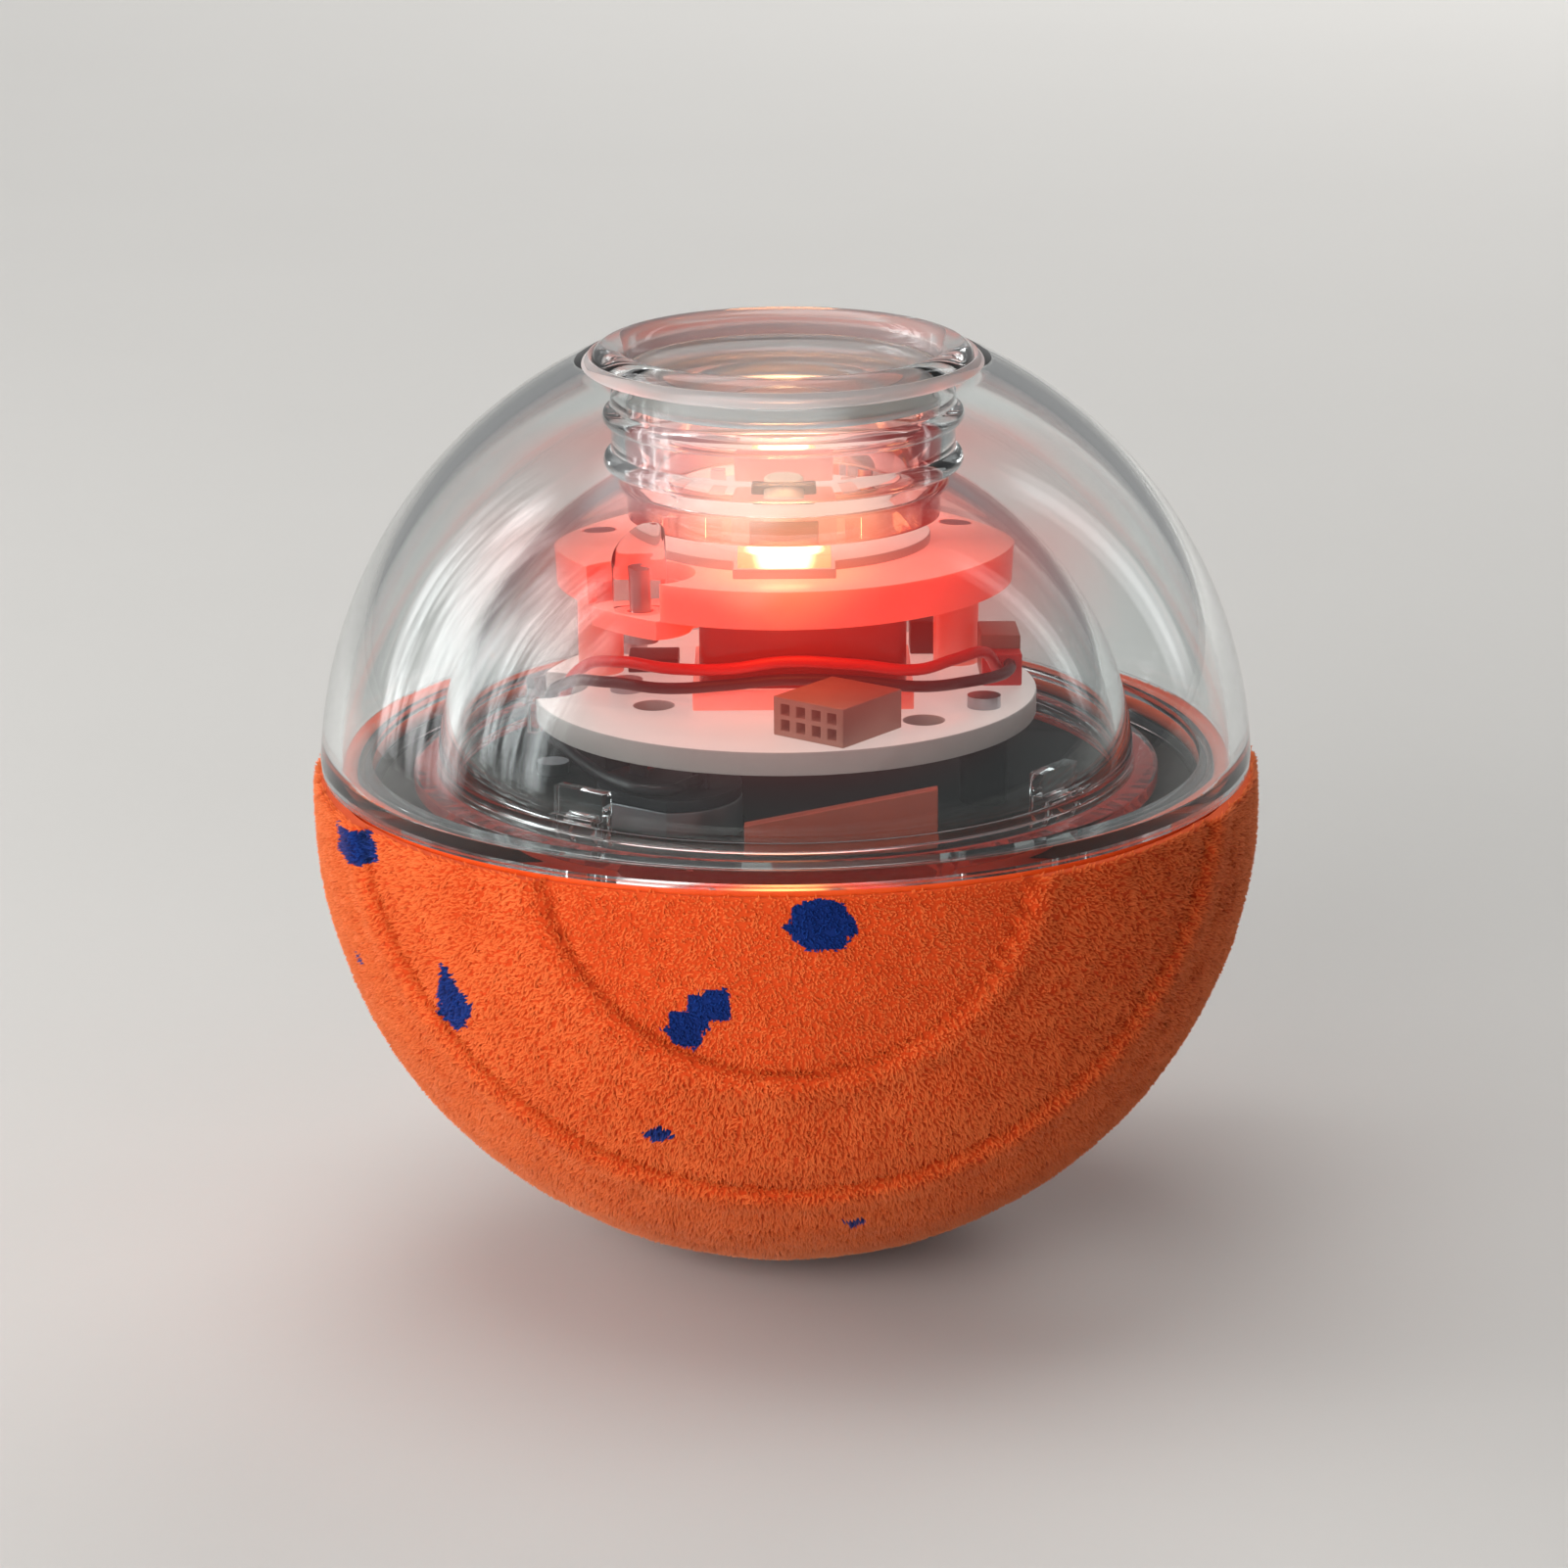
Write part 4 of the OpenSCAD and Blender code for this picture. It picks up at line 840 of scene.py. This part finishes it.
def plush_material(name, root, tip, print_root_shade, print_tip, tip_attribute):
    """Polyester pile. Its colour follows the tip mark and the fleck mark of the mesh, with painted shade
    at the tufts' roots and in the creases.
    """
    material, tree, shader, place = new_material(
        name, {"Roughness": 0.85, "Specular IOR Level": 0.2, "Sheen Weight": 0.35,
               "Sheen Roughness": 0.4, "Sheen Tint": linear("#FFB890")})
    patch = add_node(tree, "TexNoise",
                     {"Scale": 1 / (BRUSH_LENGTH * MM), "Detail": 3, "Distortion": 0.8},
                     {"Vector": place})
    height = add_node(tree, "Attribute", attribute_name=tip_attribute).outputs["Fac"]
    uneven = add_node(tree, "Math", {1: 2 * BRUSHED}, {0: patch}, operation="MULTIPLY")
    level = add_node(tree, "Math", {1: BRUSHED}, {0: uneven}, operation="SUBTRACT")
    level = add_node(tree, "Math", None, {0: height, 1: level}, operation="ADD", use_clamp=True)
    # Painted shade: the colour darkens from the tip towards the root.
    pile_with_root_shade = add_node(tree, "Mix", {6: linear(root), 7: linear(tip)}, {"Factor": level}, data_type="RGBA")
    print_with_root_shade = add_node(tree, "Mix", {6: linear(print_root_shade), 7: linear(print_tip)},
                    {"Factor": level}, data_type="RGBA")
    fleck = add_node(tree, "Attribute", attribute_name="fleck").outputs["Fac"]
    edge = add_node(tree, "MapRange", {"From Min": FLECK_FROM, "From Max": FLECK_TO}, {"Value": fleck})
    colour = add_node(tree, "Mix", None, {"Factor": edge, 6: pile_with_root_shade.outputs[2], 7: print_with_root_shade.outputs[2]},
                      data_type="RGBA")
    # Painted shade in the creases.
    crease_shade_share = add_node(tree, "Attribute", attribute_name="crease").outputs["Fac"]
    crease_shade_share = add_node(tree, "Math", {1: CREASE_SHADE}, {0: crease_shade_share}, operation="MULTIPLY")
    shade = add_node(tree, "Mix", {7: CREASE_SHADE_COLOUR},
                     {"Factor": crease_shade_share, 6: colour.outputs[2]}, data_type="RGBA", blend_type="MULTIPLY")
    tree.links.new(shade.outputs[2], shader.inputs["Base Color"])
    return material


# Painted shade: the root colours are darker than the tips for the shade between the tufts.
pile_plush = plush_material("polyester_plush", "#D64B1B", "#FF7E42", "#061B50", "#153E90", "tip")
skin_plush = plush_material("polyester_ground", "#D0481A", "#D84C1C", "#0A2560", "#0C2868", "fleck")
print("made", pile_plush.name, skin_plush.name)

# %% [markdown]
# The skin becomes the padded piece that stands for the cover. A copy of its outer side is kept
# as the ground that the tufts grow on, in four quarters, so that no quarter's mesh gets too big.

# %% Padded skin
LOOKS_UP = 0.96
QUARTERS = {"front_left": (-1, -1), "front_right": (1, -1), "back_left": (-1, 1), "back_right": (1, 1)}

grounds = {}
for quarter, (way_x, way_y) in QUARTERS.items():
    ground = skin.copy()
    bare = []
    for face in ground.faces:
        middle = face.calc_center_median()
        on_lip = middle.z > 0 and face.normal.z > LOOKS_UP
        elsewhere = middle.x * way_x < 0 or middle.y * way_y < 0
        if face.normal.dot(middle) < 0 or on_lip or elsewhere:
            bare.append(face)
    bmesh.ops.delete(ground, geom=bare, context="FACES")
    grounds[quarter] = ground
plush = add_piece("plush_skin", skin, skin_plush, "plush_cover")

# %% [markdown]
# A tuft is a three-sided cone, which is enough at half a millimetre. Geometry Nodes scatters
# them with a fixed seed, leans them in curls that follow a noise a few tufts wide, and gives
# each a slightly different size. The result is made a plain mesh, so nothing stays live. Light
# passes between real fibres, so a tuft's shading normals lean towards those of its ground.

# %% Pile
TUFTS_PER_MM2 = 15
TUFT_RADIUS = 0.19
TUFT_CORNERS = 4
CURL_LENGTH = 1.4
CURL = 1.7
STRAY = 0.4
SHORTENED = 0.22
SMALLEST, LARGEST = 0.75, 1.05
PILE_SEED = 7
RIM_GAP = 0.05
GROUND_SHARE = 0.7


def pile_tree():
    """Geometry nodes that plant tufts on a mesh."""
    tree = bpy.data.node_groups.new("pile", "GeometryNodeTree")
    for way in ("INPUT", "OUTPUT"):
        tree.interface.new_socket("Geometry", in_out=way, socket_type="NodeSocketGeometry")
    ground = add_node(tree, "NodeGroupInput")
    points = add_node(tree, "GeometryNodeDistributePointsOnFaces",
                      {"Density": TUFTS_PER_MM2 / MM ** 2, "Seed": PILE_SEED}, {"Mesh": ground})
    cone = add_node(tree, "GeometryNodeMeshCone",
                    {"Vertices": 3, "Radius Top": 0, "Radius Bottom": TUFT_RADIUS * MM,
                     "Depth": PILE_LENGTH * MM}, fill_type="NONE")
    spot = add_node(tree, "GeometryNodeInputPosition")
    height = add_node(tree, "SeparateXYZ", links={0: spot}).outputs["Z"]
    share = add_node(tree, "Math", {1: PILE_LENGTH * MM}, {0: height}, operation="DIVIDE")
    tuft = add_node(tree, "GeometryNodeStoreNamedAttribute", {"Name": "tip"},
                    {"Geometry": cone.outputs["Mesh"], "Value": share}, data_type="FLOAT")
    curls = add_node(tree, "TexNoise", {"Scale": 1 / (CURL_LENGTH * MM), "Detail": 1}, {"Vector": spot})
    lean = add_node(tree, "VectorMath", {1: (-0.5, -0.5, -0.5)},
                    {0: curls.outputs["Color"]}, operation="ADD")
    lean = add_node(tree, "VectorMath", {"Scale": CURL}, {0: lean}, operation="SCALE")
    stray = add_node(tree, "FunctionNodeRandomValue", {0: (-STRAY,) * 3, 1: (STRAY,) * 3},
                     data_type="FLOAT_VECTOR")
    lean = add_node(tree, "VectorMath", None, {0: lean, 1: stray}, operation="ADD")
    growth = add_node(tree, "VectorMath", None, {0: points.outputs["Normal"], 1: lean}, operation="ADD")
    turn = add_node(tree, "FunctionNodeAlignRotationToVector", None, {"Vector": growth}, axis="Z")
    size = add_node(tree, "FunctionNodeRandomValue", {2: SMALLEST, 3: LARGEST}, data_type="FLOAT")
    short = add_node(tree, "GeometryNodeInputNamedAttribute", {"Name": "short"}, data_type="FLOAT")
    long = add_node(tree, "MapRange", {"To Min": 1, "To Max": 1 - SHORTENED}, {"Value": short})
    size = add_node(tree, "Math", None, {0: size.outputs[1], 1: long}, operation="MULTIPLY")
    marked = add_node(tree, "GeometryNodeStoreNamedAttribute", {"Name": "ground"},
                      {"Geometry": points.outputs["Points"], "Value": points.outputs["Normal"]},
                      data_type="FLOAT_VECTOR")
    planted = add_node(tree, "GeometryNodeInstanceOnPoints", None,
                       {"Points": marked, "Instance": tuft, "Rotation": turn, "Scale": size})
    whole = add_node(tree, "GeometryNodeRealizeInstances", None, {0: planted})
    add_node(tree, "NodeGroupOutput", None, {0: whole})
    return tree


planting = pile_tree()
pile_top = (to_frame @ Vector((0, 0, rim - RIM_GAP))).z
for quarter, ground in grounds.items():
    piece = add_piece("plush_pile_" + quarter, ground, pile_plush, "plush_cover")
    piece.modifiers.new("pile", "NODES").node_group = planting
    view = bpy.context.evaluated_depsgraph_get()
    grown = bpy.data.meshes.new_from_object(piece.evaluated_get(view))
    piece.modifiers.clear()
    piece.data = grown
    grown.materials.clear()
    grown.materials.append(pile_plush)
    fleck_of_tuft = grown.attributes["fleck"].data
    for first in range(0, len(grown.vertices), TUFT_CORNERS):
        corners = range(first, first + TUFT_CORNERS)
        root = sum((grown.vertices[i].co for i in corners), Vector()) / TUFT_CORNERS
        mark = fleck_at(to_millimetres @ root)
        for i in corners:
            fleck_of_tuft[i].value = mark
            grown.vertices[i].co.z = min(max(grown.vertices[i].co.z, 0), pile_top)
    grown.shade_smooth()
    under = [Vector(mark.vector) for mark in grown.attributes["ground"].data]
    own = [vert.normal.copy() for vert in grown.vertices]
    leaning = [a.lerp(b, GROUND_SHARE).normalized() for a, b in zip(own, under)]
    grown.normals_split_custom_set_from_vertices(leaning)
    grown.attributes.remove(grown.attributes["ground"])
    print(piece.name, "triangles:", len(grown.polygons), [a.name for a in grown.attributes])

# %% [markdown]
# Two leads run from the red plug past the battery and down to the motor. They are soft copper
# in a PVC sleeve, one millimetre thick. A curve with a round bevel is the natural way to make
# a lead, because its length can be measured. Its points are the ones that the solids follow.

# %% Leads
LEAD_DIAMETER = 1
RED_ROUTE = (
    (18, -1.3, 11.2), (18, -1.9, 11.2), (18, -2.5, 11.2), (16.8, -5, 13.2), (14.2, -7.4, 13.2),
    (11, -9.2, 12.8), (6, -9.3, 13.3), (0, -9.3, 13.6), (-5, -9.3, 13), (-9.6, -8.2, 12.8),
    (-14, -5, 12.6), (-17.4, -1.6, 11.2), (-19, 0.2, 8.2), (-18.4, -2, 5.7), (-15.6, -5.6, 5.3),
    (-12, -8, 5.3), (-10.8, -9.88, 5.3), (-11.4, -10.74, 5.3), (-12, -11.6, 5.3))
BLACK_ROUTE = (
    (19.2, -1.3, 11.2), (19.2, -1.9, 11.2), (19.2, -2.5, 11.2), (18.2, -5, 11.2),
    (15.6, -7.4, 11.3), (11.6, -9.4, 11.4), (6, -9, 11.8), (0, -9.1, 12), (-5, -9.2, 11.6),
    (-9.8, -9.4, 11.4), (-15, -6.4, 11.2), (-18.6, -2.8, 10.2), (-20.4, -0.6, 8), (-20, -3, 5.8),
    (-18.2, -7.2, 5.3), (-16.4, -11.6, 5.3), (-14.2, -15.8, 5.3), (-11.2, -18.8, 5.3),
    (-9.1, -18.6, 5.3), (-8.45, -17.67, 5.3), (-7.85, -16.81, 5.3), (-7.25, -15.95, 5.3))


def add_lead(name, route, material, node):
    """A smooth round lead through the points of a route."""
    curve = bpy.data.curves.new(name, "CURVE")
    curve.dimensions = "3D"
    curve.bevel_depth = LEAD_DIAMETER / 2 * MM
    curve.bevel_resolution = 4
    curve.resolution_u = 8
    curve.use_fill_caps = True
    curve.materials.append(material)
    spline = curve.splines.new("BEZIER")
    spline.bezier_points.add(len(route) - 1)
    for knot, place in zip(spline.bezier_points, route):
        knot.co = to_frame @ Vector(place)
        knot.handle_left_type = knot.handle_right_type = "AUTO"
    piece = bpy.data.objects.new(name, curve)
    settle(piece, node)


pvc_red = mottled("pvc_sleeve_red", ("#D81E18", "#C41812"), 3, (0.3, 0.42), 0.3, 0.006)
pvc_black = mottled("pvc_sleeve_black", ("#131314", "#1C1C1E"), 3, (0.3, 0.42), 0.3, 0.006)
add_lead("lead_red_wire", RED_ROUTE, pvc_red, "red_lead")
add_lead("lead_black_wire", BLACK_ROUTE, pvc_black, "black_lead")

# %% [markdown]
# Two red lamps sit on the lamp board. Their lenses are so bright that a camera sees the middle
# as warm white and only the fall-off as red. The upper deck under them is a milky moulding: the
# light runs inside it and leaves through its top and its skirt. A volume would show that but
# take long, so the deck glows by how near a point is to a lamp.

# %% Lamp lens and milky deck
LAMP_CORE, LAMP_EDGE = "#FFC890", "#FF6A3C"
DECK_GLOW = "#FF2810"
TOP_PALE = 0.65
NEARLY_LEVEL = 0.8

lens = mottled("lamp_lens_red", ("#FFD0B8", "#FFC0A0"), 2, (0.2, 0.3), 0.4, 0.004)
glow_near_lamps(lens, LAMP_EDGE, 2.4, 5.5, 5.5, 3, core=LAMP_CORE)

# Painted light: the milky moulding's base colours are pink for the red lamp light on it.
milky = mottled("polycarbonate_milky", ("#DCA49A", "#D4988E"), 8, (0.25, 0.4), 0.5, 0.008,
                Subsurface_Weight=0.5, Subsurface_Radius=(1, 0.3, 0.2), Subsurface_Scale=0.004)
glow_near_lamps(milky, DECK_GLOW, 2, 24, 1.2, 0.2, core="#FFB868")


def upward(tree, least, most):
    """A share that is low on walls and high on faces that look up."""
    facing = add_node(tree, "NewGeometry").outputs["Normal"]
    level = add_node(tree, "SeparateXYZ", links={0: facing}).outputs["Z"]
    return add_node(tree, "MapRange", {"From Min": NEARLY_LEVEL, "To Min": least, "To Max": most},
                    {"Value": level})


# The flat top also shows the pale light that the clear neck sends back down.
milky_tree = milky.node_tree
glow_colour = shader_of(milky).inputs["Emission Color"]
pale = add_node(milky_tree, "Mix", {7: linear("#FFD8CC")},
                {"Factor": upward(milky_tree, 0, TOP_PALE), 6: glow_colour.links[0].from_socket},
                data_type="RGBA")
milky_tree.links.new(pale.outputs[2], glow_colour)
print("made", lens.name, milky.name)

# %% [markdown]
# The other finishes follow what the pieces are made of: moulded ABS, acetal gears, plated steel, brass,
# circuit board under white or black solder mask, shrink wrap and foam. Some of those inside the capsule
# have darker or redder base colours than their own, as painted shade and red lamp light.

# %% Other finishes
EDGE_LIT = 0.1

finishes = {
    "shell_plastic": mottled("abs_moulded_grey", ("#2A2B2E", "#323437"), 8, (0.4, 0.55), 0.4, 0.015),
    "clear_plastic": clear_capsule,
    "seal_rubber": seal_orange,
    "gasket_rubber": gasket_red,
    "pale_rubber": seal_pale,
    "tray_plastic": mottled("abs_satin_black", ("#0B0A0A", "#131110"), 12, (0.45, 0.55), 0.7, 0.004,
                            Specular_IOR_Level=0.05),
    "gear_plastic": mottled("acetal_ivory", ("#EDE6D2", "#E2DAC4"), 4, (0.3, 0.42), 0.4, 0.01),
    "steel": mottled("steel_plated", ("#BABDC1", "#A4A7AC"), 2, (0.28, 0.36), 0.6, 0.001, Metallic=1),
    "brass": mottled("brass_turned", ("#C9A24E", "#B8903E"), 2, (0.26, 0.36), 0.6, 0.001, Metallic=1),
    "deck_plastic": milky,
    # Painted shade: the white solder mask has a grey base colour, darker than white.
    "board_white": mottled("solder_mask_white", ("#A8A09C", "#9C948F"), 5, (0.25, 0.4), 0.5, 0.01),
    "board_black": mottled("epoxy_black", ("#141416", "#1D1D20"), 3, (0.35, 0.5), 0.3, 0.01),
    "lamp_lens": lens,
    # Painted shade and light: the ivory nylon has a dark reddish-brown base colour for shade and red
    # lamp light.
    "socket_ivory": mottled("nylon_ivory", ("#A07A6C", "#906A5C"), 3, (0.35, 0.5), 0.4, 0.01),
    "plug_red": mottled("nylon_red", ("#D8241C", "#C41C16"), 3, (0.3, 0.42), 0.4, 0.01),
    "lead_red": pvc_red,
    "lead_black": pvc_black,
    # The wrap's own colour is a dark red; its base colour is brighter and redder as painted red lamp
    # light.
    "battery_wrap": mottled("shrink_wrap_dark", ("#8A221A", "#9A281E"), 5, (0.1, 0.2), 1.2, 0.03),
    "foam": mottled("foam_grey", ("#8C8C8C", "#767676"), 1.2, (0.85, 0.95), 0.4, 0.08),
    "panel_brown": mottled("paper_laminate_brown", ("#A8442C", "#943A24"), 3, (0.3, 0.45), 0.4, 0.01),
}
# Painted light: the tinned steel's pink base colours and its glow stand for red lamp light on it.
tinned = mottled("steel_tinned_satin", ("#E0B8B0", "#D0A49C"), 2, (0.45, 0.6), 0.6, 0.001, Metallic=0.6)
glow_near_lamps(tinned, "#FF9078", 6, 26, 0.55, 0.3)
# Painted light: the white boards glow with the lamps' light, more strongly near them.
glow_near_lamps(finishes["board_white"], "#FFF4EE", 9, 45, 0.6, 0.3)

# The light falls on the boards from above, so their edges stay darker.
board_tree = finishes["board_white"].node_tree
board_glow = shader_of(finishes["board_white"]).inputs["Emission Strength"]
lit = add_node(board_tree, "Math", None,
               {0: board_glow.links[0].from_socket, 1: upward(board_tree, EDGE_LIT, 1)},
               operation="MULTIPLY")
board_tree.links.new(lit.outputs[0], board_glow)
print("finishes:", sorted(finishes))

# %% [markdown]
# The solids inside have the right shape, but their edges are knife sharp. The ones that show
# through the clear domes are copied, merged and bevelled, so that they catch the light. The
# ones that are closed in below the tray keep their solids and only get their finish.

# %% Softened copies
FLAT = math.radians(1)
SOFTENED = {
    "carrier_tray": 0.3, "capsule_clips": 0.15, "upper_deck": 0.2, "deck_posts": 0.1,
    "lamp_board": 0.12, "lamps": 0.12, "lamp_board_tabs": 0.15, "charging_socket": 0.08,
    "switch_body": 0.12, "power_button": 0.25, "main_board": 0.12, "pin_socket": 0.1,
    "board_parts": 0.15, "lead_socket": 0.12, "lead_plug": 0.15, "battery": 1.1,
    "battery_cradle": 0.12, "battery_pad": 0.1, "board_pillars": 0.1, "baffle_plate": 0.12,
    "motor_can": 0.15, "motor_end": 0.1,
}


def softened(node, width):
    """A copy of a solid's mesh in millimetres, merged, with its edges rounded off."""
    bm = bmesh.new()
    bm.from_mesh(frame["nodes"][node].data)
    bmesh.ops.transform(bm, matrix=to_millimetres, verts=bm.verts)
    bmesh.ops.remove_doubles(bm, verts=bm.verts, dist=SAME_POINT)
    bmesh.ops.dissolve_limit(bm, angle_limit=FLAT, verts=bm.verts, edges=bm.edges)
    return bevelled(bm, width, segments=3)


for node, width in SOFTENED.items():
    finish = tinned if node == "charging_socket" else finishes[slot_of[node]]
    add_piece(node + "_soft", softened(node, width), finish, node)

kept = [node for node, solid in frame["nodes"].items() if not solid.hide_render]
for node in kept:
    for place in frame["nodes"][node].material_slots:
        place.material = finishes[slot_of[node]]
print("solids that keep their mesh:", kept)
